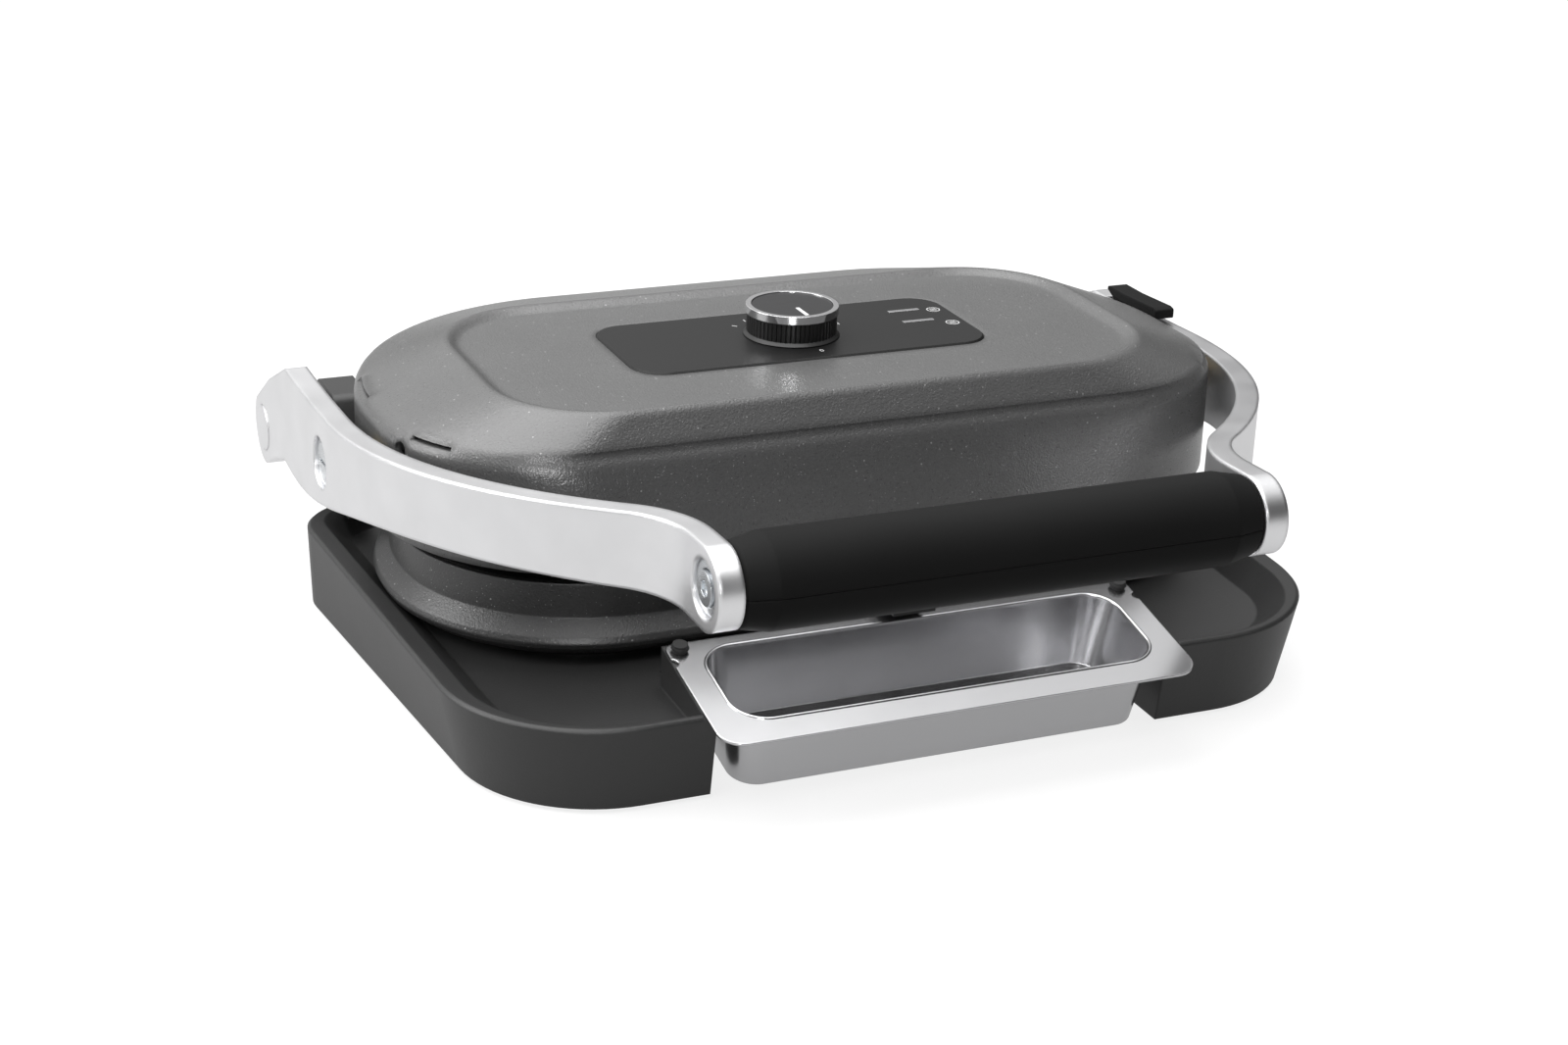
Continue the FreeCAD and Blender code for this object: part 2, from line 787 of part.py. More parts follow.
def ridge_plan(inset):
    return plan(v("ridge_half"), v("ridge_half"), v("ridge_front"), v("ridge_back"),
                v("ridge_radius"), v("ridge_radius"), inset)


def crown_plan(share, inset):
    """Plan between the shoulder (share 0) and the ridge (share 1), drawn in by an inset."""
    def between(low, high):
        return v(low) + (v(high) - v(low)) * share

    return plan(between("lid_half", "ridge_half"), between("lid_half", "ridge_half"),
                between("lid_front_shoulder", "ridge_front"), between("lid_back", "ridge_back"),
                between("lid_front_radius", "ridge_radius"),
                between("lid_back_radius", "ridge_radius"), inset)


def lid_skin():
    """Outside of the lid: steep wall, shoulder turned in four short bands, sloping crown."""
    body = new_body("lid_skin")
    width = v("lid_half") - v("ridge_half")
    rise = v("lid_ridge_z") - v("lid_shoulder_z")
    turn = math.pi / 2 - math.atan(rise / width)
    radius = v("lid_shoulder_round")
    reach = radius * math.tan(turn / 2)
    levels = [(v("lid_edge_z"), lid_level_plan(v("lid_edge_z"), 0))]
    bands = 4
    for i in range(bands + 1):
        angle = turn * i / bands
        z = v("lid_shoulder_z") - reach + radius * math.sin(angle)
        inset = radius * (1 - math.cos(angle))
        share = max(0.0, (z - v("lid_shoulder_z")) / rise)
        low = z <= v("lid_shoulder_z")
        edges = lid_level_plan(z, inset) if low else crown_plan(share, inset - share * width)
        levels.append((z, edges))
    levels.append((v("lid_ridge_z"), ridge_plan(0)))
    rings = [sketch(body, edges, offset="lid_edge_z + %g" % (z - v("lid_edge_z"))) for z, edges in levels]
    skin = body.newObject("PartDesign::AdditiveLoft", "skin")
    skin.Profile = rings[0]
    skin.Sections = rings[1:]
    skin.Ruled = True
    skin.Refine = False
    brim, sink = prism("lid_recess", ridge_plan(v("brim_inset")), "lid_ridge_z - lid_recess_depth",
                       "lid_recess_depth + 1")
    bevel(brim, sink, False, "lid_recess_depth", "ridge_width - brim_inset")
    return cut(body, brim)


def lid_room():
    """Inside of the lid, stepped up to the crown so that the wall keeps its thickness."""
    lap = 0.5
    rooms = []

    def add(plan_edges, low, high):
        room, _ = prism("lid_room", plan_edges, "lid_edge_z + %g" % (low - lap - v("lid_edge_z")),
                        "%g" % (high - low + lap))
        rooms.append(room)

    steps = int(v("lid_inner_steps"))
    for i in range(steps):
        add(lid_level_plan(lid_step_z(i + 1), v("lid_wall")), lid_step_z(i), lid_step_z(i + 1))
    low = lid_step_z(steps)
    roof = v("lid_ridge_z") - v("lid_recess_depth") - v("lid_wall")
    middle = (low + roof) / 2
    add(crown_plan(0.22, 2 * v("lid_wall")), low, middle)
    add(crown_plan(0.72, 2 * v("lid_wall")), middle, roof)
    return rooms


def lid_vents():
    """Two slots and a round hole low on the shoulder of one side."""
    rear = box("12", "vent_rear_length", "vent_height", "-lid_half - 2", "vent_rear_front_y", "vent_z")
    sector = cylinder("lid_front_radius + 3", "vent_height", "-lid_half + lid_front_radius",
                      "lid_front_radius - lid_front_shoulder", "vent_z",
                      FreeCAD.Rotation(V(0, 0, 1), 180 + v("vent_corner_start")))
    bind(sector, "Angle", "vent_corner_sweep")
    core = cylinder("lid_front_radius - 9", "2*vent_height", "-lid_half + lid_front_radius",
                    "lid_front_radius - lid_front_shoulder", "vent_z - vent_height/2")
    hole = cylinder("vent_hole_radius", "16", "-lid_half - 2", "-vent_hole_y", "vent_hole_z", ALONG_X)
    return [rear, cut(sector, core), hole]


def lid_shell():
    tools = [box("2*panel_half - 2*panel_lip", "panel_back_y - panel_front_y - 2*panel_lip", "20",
                 "-panel_half + panel_lip", "panel_front_y + panel_lip", "lid_ridge_z - 15")]
    seat, _ = prism("panel_seat", panel_plan(-v("hole_gap")), "panel_top_z - panel_plate", "10")
    tools.append(seat)
    for x in ("lid_half - 8", "-lid_half - 8"):
        tools.append(cylinder("bush_radius + hole_gap", "16", x, "pivot_y", "pivot_z", ALONG_X))
    vents = lid_vents()
    node("lid_shell", cut(lid_skin(), *lid_room(), *tools, *vents, *[mirror_x(item) for item in vents]))


def panel_plan(inset):
    """Control panel: a rounded rectangle with gently bowed front and back edges."""
    half = v("panel_half") - inset
    return plan(half, half, -v("panel_front_y") - inset, v("panel_back_y") - inset,
                v("panel_radius") + inset, v("panel_radius") + inset)


def control_panel():
    body, plate = prism("panel_plate", panel_plan(0), "panel_top_z - panel_plate + seat_gap",
                        "panel_plate - seat_gap")
    bevel(body, plate, True, "panel_bevel", "panel_bevel")
    well = cylinder("shaft_radius + 1", "20", "0", "knob_y", "panel_top_z - 10")
    slots = [box("lamp_length + 2*hole_gap", "lamp_width + 2*hole_gap", "20", x, y, "panel_top_z - 10")
             for x, y in lamp_corners("hole_gap")]
    tub = box("2*panel_half - 3*panel_lip", "panel_back_y - panel_front_y - 3*panel_lip", "panel_thickness",
              "-panel_half + 1.5*panel_lip", "panel_front_y + 1.5*panel_lip", "panel_top_z - panel_tub_depth")
    node("control_panel", cut(fuse(body, tub), well, *slots))


def lamp_corners(grow):
    first = ("lamp_x - lamp_length/2 - " + grow, "lamp_y - lamp_width/2 - " + grow)
    second = ("lamp_x - lamp_length/2 - " + grow, "lamp_y - lamp_pitch - lamp_width/2 - " + grow)
    return [first, second]


def indicator_lenses():
    lenses = [box("lamp_length", "lamp_width", "panel_tub_depth + hole_gap", x, y,
                  "panel_top_z - panel_tub_depth")
              for x, y in lamp_corners("0")]
    node("indicator_lenses", group(*lenses))


def thermostat():
    case = box("case_length", "case_width", "case_height", "-case_length/2", "knob_y - case_width/2",
               "panel_top_z - panel_tub_depth - seat_gap - case_height")
    shaft = cylinder("shaft_radius", "knob_top_z - panel_top_z - knob_ring_height + panel_tub_depth - 1",
                     "0", "knob_y",
                     "panel_top_z - panel_tub_depth - 1")
    node("thermostat", fuse(case, shaft))


# Knob: fluted skirt with a flared foot, bright ring and dark disc

def knob_flutes():
    """Upright grooves round the skirt, each cut by a narrow wedge."""
    count = int(v("knob_flutes"))
    root, crest = v("knob_radius") - v("knob_flute_depth"), v("knob_radius") + v("knob_flute_depth")
    half = math.pi * crest / count * 0.7
    corners = [V(root, 0, 0), V(crest, half, 0), V(crest, -half, 0), V(root, 0, 0)]
    wedge = Part.Face(Part.makePolygon(corners)).extrude(V(0, 0, v("knob_top_z") - v("panel_top_z")))
    low = V(0, v("knob_y"), v("panel_top_z") + v("knob_lift") + v("knob_foot_height"))
    wedges = []
    for i in range(count):
        turned = wedge.copy()
        turned.Placement = FreeCAD.Placement(low, FreeCAD.Rotation(V(0, 0, 1), 360 * i / count))
        wedges.append(turned)
    flutes = doc.addObject("Part::Feature", "flutes")
    flutes.Shape = Part.makeCompound(wedges)
    return flutes


def knob():
    bore = cylinder("shaft_radius + shaft_gap", "2*knob_radius", "0", "knob_y", "panel_top_z - knob_radius/2")
    under = "panel_top_z + knob_lift"
    height = "knob_top_z - panel_top_z - knob_lift - knob_ring_height"
    side = cylinder("knob_radius", height + " - knob_foot_height", "0", "knob_y",
                    under + " + knob_foot_height")
    foot = cone("knob_foot_radius", "knob_radius", "knob_foot_height", "0", "knob_y", under)
    core = cylinder("knob_ring_inner - hole_gap", "knob_ring_height - knob_disc_drop", "0", "knob_y",
                    "knob_top_z - knob_ring_height")
    hollow = cylinder("knob_radius - knob_wall", height + " - knob_wall", "0", "knob_y", under)
    stem = cylinder("knob_hub_radius", height, "0", "knob_y", under)
    skirt = cut(fuse(side, foot), hollow, knob_flutes())
    node("knob_body", cut(fuse(skirt, stem, core), bore))
    ring = cylinder("knob_ring_outer", "knob_ring_height", "0", "knob_y", "knob_top_z - knob_ring_height")
    hole = cylinder("knob_ring_inner", "20", "0", "knob_y", "knob_top_z - 10")
    node("knob_ring", cut(ring, hole))
    disc = cylinder("knob_ring_inner - hole_gap", "knob_disc_height", "0", "knob_y",
                    "knob_top_z - knob_disc_drop")
    slot = box("pointer_width + 2*pointer_gap", "pointer_length + 2*pointer_gap", "5",
               "-pointer_width/2 - pointer_gap",
               "knob_y - pointer_reach - pointer_gap", "knob_top_z - knob_disc_drop - 1")
    node("knob_disc", cut(disc, slot))
    pointer = box("pointer_width", "pointer_length", "knob_disc_height + pointer_gap", "-pointer_width/2",
                  "knob_y - pointer_reach", "knob_top_z - knob_disc_drop")
    node("knob_pointer", pointer)


# Arms: cast bars that follow the lid's side and corner, then swing forward to the grip

def arm_line(offset):
    """Centre line of the right arm from the hinge to the nose, shifted sideways by offset."""
    turn = math.radians(v("arm_bend_angle"))
    nose_x = v("grip_half") + v("arm_thickness") / 2
    small = v("arm_nose_radius")
    large = (v("arm_x") - nose_x) / (1 - math.cos(turn)) - small
    start = V(v("arm_x") + offset, v("hinge_y") + v("hinge_boss") + 5, 0)
    bend = V(v("arm_x") + offset, v("arm_bend_start"), 0)
    centre = V(v("arm_x") - large, v("arm_bend_start"), 0)

    def on_large(angle):
        return centre + V(math.cos(angle), -math.sin(angle), 0) * (large + offset)

    far = V(nose_x + small, centre.y - (large + small) * math.sin(turn), 0)

    def on_small(angle):
        return far + V(-math.cos(angle), math.sin(angle), 0) * (small - offset)

    nose = V(nose_x + offset, far.y, 0)
    tip = V(nose_x + offset, -v("arm_nose_y") - v("arm_nose_boss") - 5, 0)
    return [Part.LineSegment(start, bend), Part.Arc(bend, on_large(turn / 2), on_large(turn)),
            Part.Arc(on_large(turn), on_small(turn / 2), nose), Part.LineSegment(nose, tip)]


def arm_side_outline():
    """Side view of the arm: hinge boss, deep rear part, slim strip and nose boss."""
    nose_y, nose_z, nose_r = -v("arm_nose_y"), v("arm_nose_z"), v("arm_nose_boss")
    hinge_y, hinge_z, hinge_r = v("hinge_y"), v("hinge_z"), v("hinge_boss")

    def on_boss(angle):
        return V(hinge_y + hinge_r * math.cos(angle), hinge_z + hinge_r * math.sin(angle), 0)

    pivot_y, pivot_z = v("pivot_y"), v("pivot_z")
    top = [V(nose_y, nose_z + nose_r, 0), V(nose_y + v("arm_front_reach"), nose_z + v("arm_front_rise"), 0),
           V(pivot_y - v("arm_saddle_y"), nose_z + v("arm_saddle_rise"), 0),
           V(pivot_y + v("arm_seat_y"), nose_z + v("arm_seat_rise"), 0),
           V(hinge_y - v("arm_heel_reach"), hinge_z + v("arm_heel_rise"), 0), on_boss(0.7)]
    low = [on_boss(-1.82), V(hinge_y - v("arm_tail_reach"), hinge_z - v("arm_tail_drop"), 0),
           V(hinge_y - v("arm_bend_reach"), hinge_z - v("arm_bend_drop"), 0),
           V(pivot_y + v("arm_belly_y"), pivot_z - v("arm_belly_drop"), 0),
           V(pivot_y - v("arm_waist_y"), pivot_z - v("arm_waist_drop"), 0),
           V(nose_y + v("arm_neck_reach"), nose_z - v("arm_neck_drop"), 0),
           V(nose_y + v("arm_chin_reach"), nose_z - v("arm_chin_drop"), 0), V(nose_y, nose_z - nose_r, 0)]
    upper = Part.BSplineCurve()
    upper.interpolate(top[:4])
    lower = Part.BSplineCurve()
    lower.interpolate(low[2:])
    rear = Part.Arc(top[-1], on_boss(-0.6), low[0])
    front = Part.Arc(low[-1], V(nose_y - nose_r, nose_z, 0), top[0])
    edges = [upper, Part.LineSegment(top[3], top[4]), Part.LineSegment(top[4], top[5]), rear,
             Part.LineSegment(low[0], low[1]), Part.LineSegment(low[1], low[2]), lower, front]
    return edges


def right_arm_blank():
    plan_body = new_body("arm_plan")
    half = v("arm_thickness") / 2
    outer = arm_line(half)
    inner = arm_line(-half)
    ends = [Part.LineSegment(outer[0].StartPoint, inner[0].StartPoint),
            Part.LineSegment(outer[-1].EndPoint, inner[-1].EndPoint)]
    outline = sketch(plan_body, outer + inner + ends, offset="30")
    pad(plan_body, outline, "110")
    side_body = new_body("arm_side")
    side = sketch(side_body, arm_side_outline(), "YZ_Plane", "80")
    pad(side_body, side, "140")
    return common(plan_body, side_body)


def arms():
    outer_x = "arm_x + arm_thickness/2"
    nose_x = "grip_half + arm_thickness"
    tools = [cylinder("hinge_pin_radius + shaft_gap", "30", "arm_x - 15", "hinge_y", "hinge_z", ALONG_X),
             cylinder("hinge_cap_radius + hole_gap", "10", outer_x + " - cap_seat", "hinge_y", "hinge_z",
                      ALONG_X),
             cylinder("pivot_radius + hole_gap", "30", "arm_x - 15", "pivot_y", "pivot_z", ALONG_X),
             cylinder("recess_radius", "10", outer_x + " - recess_depth", "pivot_y", "pivot_z", ALONG_X),
             cylinder("grip_bolt_radius + hole_gap", "30", "grip_half - 5", "-arm_nose_y", "arm_nose_z",
                      ALONG_X),
             cylinder("recess_radius", "10", nose_x + " - recess_depth", "-arm_nose_y", "arm_nose_z",
                      ALONG_X)]
    plain = cut(right_arm_blank(), *tools)
    node("left_arm", mirror_x(plain))
    slot = box("lever_leg + 2*lever_slot_gap", "lever_slot_length", "20",
               "arm_x - lever_leg/2 - lever_slot_gap",
               "lever_y - lever_slot_length/2", "lever_seat_z - lever_leg_depth - 5*lever_slot_gap")
    pin_hole = cylinder("lever_pin_radius + shaft_gap/3", "arm_thickness + 2", "arm_x - arm_thickness/2 - 1",
                        "lever_y",
                        "lever_seat_z - lever_pin_depth", ALONG_X)
    node("right_arm", cut(plain, slot, pin_hole))


def both_sides(name, item):
    node(name, group(item, mirror_x(item)))


def arm_fasteners():
    outer_x = "arm_x + arm_thickness/2"
    nose_x = "grip_half + arm_thickness"
    cap = cylinder("hinge_cap_radius", "cap_height", outer_x + " - cap_seat + hole_gap", "hinge_y",
                   "hinge_z", ALONG_X)
    both_sides("hinge_caps", cap)
    shank = cylinder("pivot_radius", outer_x + " - recess_depth - lid_half + pivot_reach",
                     "lid_half - pivot_reach",
                     "pivot_y", "pivot_z", ALONG_X)
    head = cylinder("pivot_head", "pivot_head_height", outer_x + " - recess_depth", "pivot_y", "pivot_z",
                    ALONG_X)
    drive = box("pivot_head_height", "pivot_slot_length", "pivot_slot_width",
                outer_x + " - recess_depth + pivot_head_height/2", "pivot_y - pivot_slot_length/2",
                "pivot_z - pivot_slot_width/2")
    both_sides("pivot_bolts", cut(fuse(shank, head), drive))
    shank = cylinder("grip_bolt_radius", "arm_thickness - recess_depth + grip_bolt_reach",
                     "grip_half - grip_bolt_reach", "-arm_nose_y", "arm_nose_z", ALONG_X)
    head = cylinder("grip_bolt_head", "grip_bolt_head_height", nose_x + " - recess_depth", "-arm_nose_y",
                    "arm_nose_z", ALONG_X)
    both_sides("grip_bolts", cut(fuse(shank, head), hex_socket()))


def hex_socket():
    item = doc.addObject("Part::Prism", "hex_socket")
    item.Polygon = 6
    bind(item, "Circumradius", "grip_bolt_head*0.5")
    bind(item, "Height", "5")
    place(item, "grip_half + arm_thickness - recess_depth + 1", "-arm_nose_y", "arm_nose_z", ALONG_X)
    return item


# Grip: two moulded half shells round a steel bar

def grip_half_shell(name, below):
    body = new_body(name + "_shell")
    outer, end = v("grip_radius"), v("grip_end_radius")
    inner = outer - v("grip_wall")
    half = v("grip_half") - v("seat_gap")
    taper = v("grip_taper_x")
    seat, end_wall = v("core_radius") + 0.3, v("grip_wall")
    right = [V(taper, outer, 0), V(half - 1.5, end + 0.1, 0), V(half, end - 1.3, 0), V(half, seat, 0),
             V(half - end_wall, seat, 0), V(half - end_wall, end - end_wall - 0.2, 0), V(taper, inner, 0)]
    left = [V(-point.x, point.y, 0) for point in reversed(right)]
    edges = rounded(right + left, [0] * (len(right) + len(left)))
    outline = sketch(body, edges)
    revolve = body.newObject("PartDesign::Revolution", "turned")
    revolve.Profile = outline
    revolve.ReferenceAxis = (outline, ["H_Axis"])
    revolve.Angle = 180
    revolve.Reversed = below
    place(body, None, "-arm_nose_y", "arm_nose_z" + (" - seam_gap/2" if below else " + seam_gap/2"))
    node(name, body)


def grip():
    grip_half_shell("grip_upper", False)
    grip_half_shell("grip_lower", True)
    bar = cylinder("core_radius", "2*grip_half - 2*seat_gap", "-grip_half + seat_gap", "-arm_nose_y",
                   "arm_nose_z",
                   ALONG_X)
    bores = [cylinder("grip_bolt_radius + hole_gap", "grip_bolt_reach + 2", x, "-arm_nose_y", "arm_nose_z",
                      ALONG_X)
             for x in ("grip_half - grip_bolt_reach - 1", "-grip_half - 1")]
    node("grip_core", cut(bar, *bores))


# Drip tray: a pressed pan whose flange slopes down to the front

def drip_tray():
    half, lip, side = v("tray_half"), v("tray_lip"), v("tray_side_lip")
    length, basin, metal = v("tray_length"), v("tray_basin"), v("tray_sheet")
    corner = v("tray_corner")
    flange = rounded([(-half, 0), (half, 0), (half, length), (-half, length)], [corner, corner, 4, 4])

    def basin_plan(inset):
        w = half - side - inset
        return rounded([(-w, lip + inset), (w, lip + inset), (w, lip + basin - inset),
                        (-w, lip + basin - inset)],
                       [1.4 * corner - inset / 2] * 4)

    sheet_part, _ = prism("tray_flange", flange, "-tray_sheet", "tray_sheet")
    bowl, outside = prism("tray_bowl", basin_plan(-metal), "-tray_depth", "tray_depth - tray_sheet/2")
    bevel(bowl, outside, False, "tray_depth - 2*tray_sheet", "tray_draft")
    room, inside = prism("tray_room", basin_plan(0), "-tray_depth + tray_sheet", "tray_depth + tray_sheet")
    bevel(room, inside, False, "tray_depth - 2*tray_sheet", "tray_draft")
    for body in (sheet_part, bowl, room):
        body.Placement = tray_placement()
    notches = []
    for sign in ("1", "-1"):
        notches.append(cylinder("notch_radius", "tray_depth", sign + "*(tray_half + notch_radius/4)",
                                "-tray_front_y + notch_place", "tray_front_z"))
    node("drip_tray", cut(fuse(sheet_part, bowl), room, *notches))


def tray_placement():
    return FreeCAD.Placement(V(0, -v("tray_front_y"), v("tray_front_z")),
                             FreeCAD.Rotation(V(1, 0, 0), v("tray_tilt")))


def tray_studs():
    studs = []
    for sign in (1, -1):
        stud = doc.addObject("Part::Feature", "stud")
        stem = Part.makeCylinder(v("stud_radius"), v("stud_height"))
        head = Part.makeCone(1.2 * v("stud_radius"), 0.8 * v("stud_radius"), v("stud_height") / 2,
                             V(0, 0, v("stud_height") / 2))
        stud.Shape = stem.fuse(head)
        local = FreeCAD.Placement(V(sign * (v("tray_half") - v("stud_inset")),
                                    v("tray_length") - v("stud_inset"), v("seat_gap") * 0.2),
                                  FreeCAD.Rotation())
        stud.Placement = tray_placement() * local
        studs.append(stud)
    node("tray_studs", group(*studs))


# Rear of the base: hinge towers, bridge cover, pins and cord gland

def hinge_towers():
    y0, top, y1, z1 = v("tower_front_y"), v("tower_top_z"), v("hinge_y"), v("hinge_z")
    foot_front, foot_back = v("tower_foot_front_y"), v("tower_foot_back_y")
    back, high = y1 + v("tower_boss") - v("tower_back_inset"), v("tower_back_high")
    floor = v("base_rim_z") + v("seat_gap")
    body = new_body("tower")
    corners = [(foot_front, floor), (foot_back, floor), (back, z1 - v("tower_back_low")),
               (back, z1 + high), (y1 - high, top), (y0 + v("tower_back_low"), top), (y0, z1 - high / 2),
               (foot_front, floor + high)]
    side = sketch(body, rounded(corners, [0, 2, 8, 10, 6, 5, 10, 6]), "YZ_Plane", "tower_inner_x")
    pad(body, side, "tower_width")
    boss = cylinder("tower_boss - 2", "arm_x - arm_thickness/2 - tower_inner_x - 2*seat_gap - 2",
                    "tower_inner_x + 2",
                    "hinge_y", "hinge_z", ALONG_X)
    bore = cylinder("hinge_pin_radius + hole_gap", "60", "tower_inner_x + 4", "hinge_y", "hinge_z", ALONG_X)
    tower = cut(fuse(body, boss), bore)
    node("right_hinge_tower", tower)
    node("left_hinge_tower", mirror_x(tower))
    pin = cylinder("hinge_pin_radius", "arm_x + arm_thickness/2 - 2 - seat_gap - tower_inner_x - 4.5",
                   "tower_inner_x + 4.5", "hinge_y", "hinge_z", ALONG_X)
    both_sides("hinge_pins", pin)


def cord_gland():
    tube = cylinder("gland_radius", "gland_length", "-gland_x", "base_back + gland_flange - gland_length",
                    "gland_z",
                    ALONG_Y)
    nut = cylinder("gland_radius + gland_wall", "gland_flange", "-gland_x", "base_back", "gland_z", ALONG_Y)
    bore = cylinder("gland_radius - gland_wall", "60", "-gland_x", "base_back - 30", "gland_z", ALONG_Y)
    node("cord_gland", cut(fuse(tube, nut), bore))


def release_lever():
    """Thumb lever on the right arm, with its leg in a slot of the arm."""
    body = new_body("lever")
    top = v("lever_seat_z")
    y0, y1 = v("lever_tip_y"), v("lever_y")
    under, end = top + v("lever_clearance"), y1 + v("lever_reach")
    high, back = top + v("lever_tip_height"), top + v("lever_back_height")
    corners = [(y0, under + 0.8), (y0 + 8, under), (y1, under), (end, top + v("lever_relief")), (end, back),
               (y1 - 10, back), (y0 + 3, high), (y0, high - 0.7)]
    side = sketch(body, rounded(corners, [1, 3, 4, 0.5, 1, 10, 2, 1]), "YZ_Plane", "arm_x - lever_width/2")
    pad(body, side, "lever_width")
    leg = box("lever_leg", "lever_leg_length", "lever_leg_depth + 1.5", "arm_x - lever_leg/2",
              "lever_y - lever_leg_length/2", "lever_seat_z - lever_leg_depth")
    bore = cylinder("lever_pin_radius + shaft_gap", "30", "arm_x - 15", "lever_y",
                    "lever_seat_z - lever_pin_depth",
                    ALONG_X)
    node("release_lever", cut(fuse(body, leg), bore))
    pin = cylinder("lever_pin_radius", "arm_thickness - 2*seat_gap", "arm_x - arm_thickness/2 + seat_gap",
                   "lever_y",
                   "lever_seat_z - lever_pin_depth", ALONG_X)
    node("lever_pin", pin)


def terminal_block():
    node("terminal_block", box("block_length", "block_width", "block_height", "-block_x - block_length/2",
                               "block_y - block_width/2", "base_edge_z + cover_thickness + seat_gap"))


def lid_pivots():
    bush = cylinder("bush_radius", "arm_x - arm_thickness/2 - seat_gap - lid_half + pivot_reach",
                    "lid_half - pivot_reach", "pivot_y", "pivot_z", ALONG_X)
    bore = cylinder("pivot_radius + shaft_gap", "60", "lid_half - 30", "pivot_y", "pivot_z", ALONG_X)
    both_sides("lid_bushes", cut(bush, bore))
    plate = box("bracket_thickness", "bracket_length", "bracket_height",
                "lid_half - bracket_inset - bracket_thickness",
                "pivot_y - bracket_front", "pivot_z - bracket_drop")
    hole = cylinder("bush_radius + hole_gap", "60", "lid_half - 30", "pivot_y", "pivot_z", ALONG_X)
    both_sides("lid_brackets", cut(plate, hole))


def main():
    base_shell()
    bottom_cover()
    rubber_feet()
    lower_housing()
    lower_plate()
    upper_plate()
    element("lower_element", "housing_top_z - plate_thickness - element_radius - seat_gap")
    element("upper_element",
            "housing_top_z + 2*rib_height + cooking_gap + plate_thickness + element_radius + seat_gap")
    reflector("lower_reflector", "housing_top_z - plate_thickness - seat_gap - pan_depth", True)
    reflector("upper_reflector", "housing_top_z + 2*rib_height + cooking_gap + plate_thickness + seat_gap",
              False)
    lid_shell()
    control_panel()
    indicator_lenses()
    thermostat()
    knob()
    arms()
    arm_fasteners()
    grip()
    drip_tray()
    tray_studs()
    hinge_towers()
    cord_gland()
    terminal_block()
    release_lever()
    lid_pivots()
    doc.recompute()
    write_nodes()


def write_nodes():
    """Check every object of the document, then write one STEP file per piece."""
    for item in doc.Objects:
        if "Invalid" in item.State or "Error" in item.State:
            raise RuntimeError("%s (%s) did not build: %s" % (item.Name, item.Label, item.State))
    os.makedirs("parts", exist_ok=True)
    for name, item in nodes.items():
        shape = item.Shape
        if shape.isNull() or not shape.isValid():
            raise RuntimeError(name + " has no valid shape")
    for name, item in nodes.items():
        item.Shape.exportStep("parts/" + name + ".step")
        bounds = item.Shape.BoundBox
        print("%-20s solids %2d  x %7.1f %7.1f  y %7.1f %7.1f  z %6.1f %6.1f" % (
            name, len(item.Shape.Solids), bounds.XMin, bounds.XMax, bounds.YMin, bounds.YMax,
            bounds.ZMin, bounds.ZMax))


main()
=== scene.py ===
"""Looks of a contact grill: finishes, printed marks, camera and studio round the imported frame."""

import logging
import math
from dataclasses import dataclass, field
from enum import Enum
from typing import Any, Sequence

import bmesh
import bpy
from mathutils import Matrix, Vector


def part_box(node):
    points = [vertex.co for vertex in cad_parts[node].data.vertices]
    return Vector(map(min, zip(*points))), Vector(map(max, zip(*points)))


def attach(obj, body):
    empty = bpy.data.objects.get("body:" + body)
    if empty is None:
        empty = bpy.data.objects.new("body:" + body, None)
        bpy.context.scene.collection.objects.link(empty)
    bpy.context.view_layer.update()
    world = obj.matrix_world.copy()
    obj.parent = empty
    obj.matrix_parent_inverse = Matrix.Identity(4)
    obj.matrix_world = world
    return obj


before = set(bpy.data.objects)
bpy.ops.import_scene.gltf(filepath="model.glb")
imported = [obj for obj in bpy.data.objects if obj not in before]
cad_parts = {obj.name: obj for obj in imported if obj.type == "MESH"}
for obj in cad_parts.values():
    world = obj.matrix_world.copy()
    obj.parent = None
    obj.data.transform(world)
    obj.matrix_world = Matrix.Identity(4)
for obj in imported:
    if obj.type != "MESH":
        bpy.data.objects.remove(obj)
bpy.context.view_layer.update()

LOG = logging.getLogger("contact_grill")
MM = 0.001

# A Mix node has sockets of the same names for floats, vectors and colours; these are those for colours.
MIX_FIRST, MIX_SECOND, MIX_RESULT = 6, 7, 2
FLECK_CORE = 0.55
EDGE_SAMPLES = 6


class Socket:
    """One output of a shader node, with arithmetic that adds Math nodes."""

    def __init__(self, graph: "Tree", link: Any) -> None:
        """Keep the graph that owns the node and the output itself."""
        self.graph = graph
        self.link = link

    def _math(self, operation: str, *values: Any) -> "Socket":
        """Add one Math node and return its value."""
        return self.graph.node("ShaderNodeMath", {"operation": operation}, dict(enumerate(values)))

    def __add__(self, other: Any) -> "Socket":
        """Sum."""
        return self._math("ADD", self, other)

    __radd__ = __add__

    def __sub__(self, other: Any) -> "Socket":
        """Difference."""
        return self._math("SUBTRACT", self, other)

    def __rsub__(self, other: Any) -> "Socket":
        """Difference with the socket on the right."""
        return self._math("SUBTRACT", other, self)

    def __mul__(self, other: Any) -> "Socket":
        """Product."""
        return self._math("MULTIPLY", self, other)

    __rmul__ = __mul__

    def __gt__(self, other: Any) -> "Socket":
        """One where the socket is greater, else zero."""
        return self._math("GREATER_THAN", self, other)

    def sine(self) -> "Socket":
        """Sine of the value in radians."""
        return self._math("SINE", self)


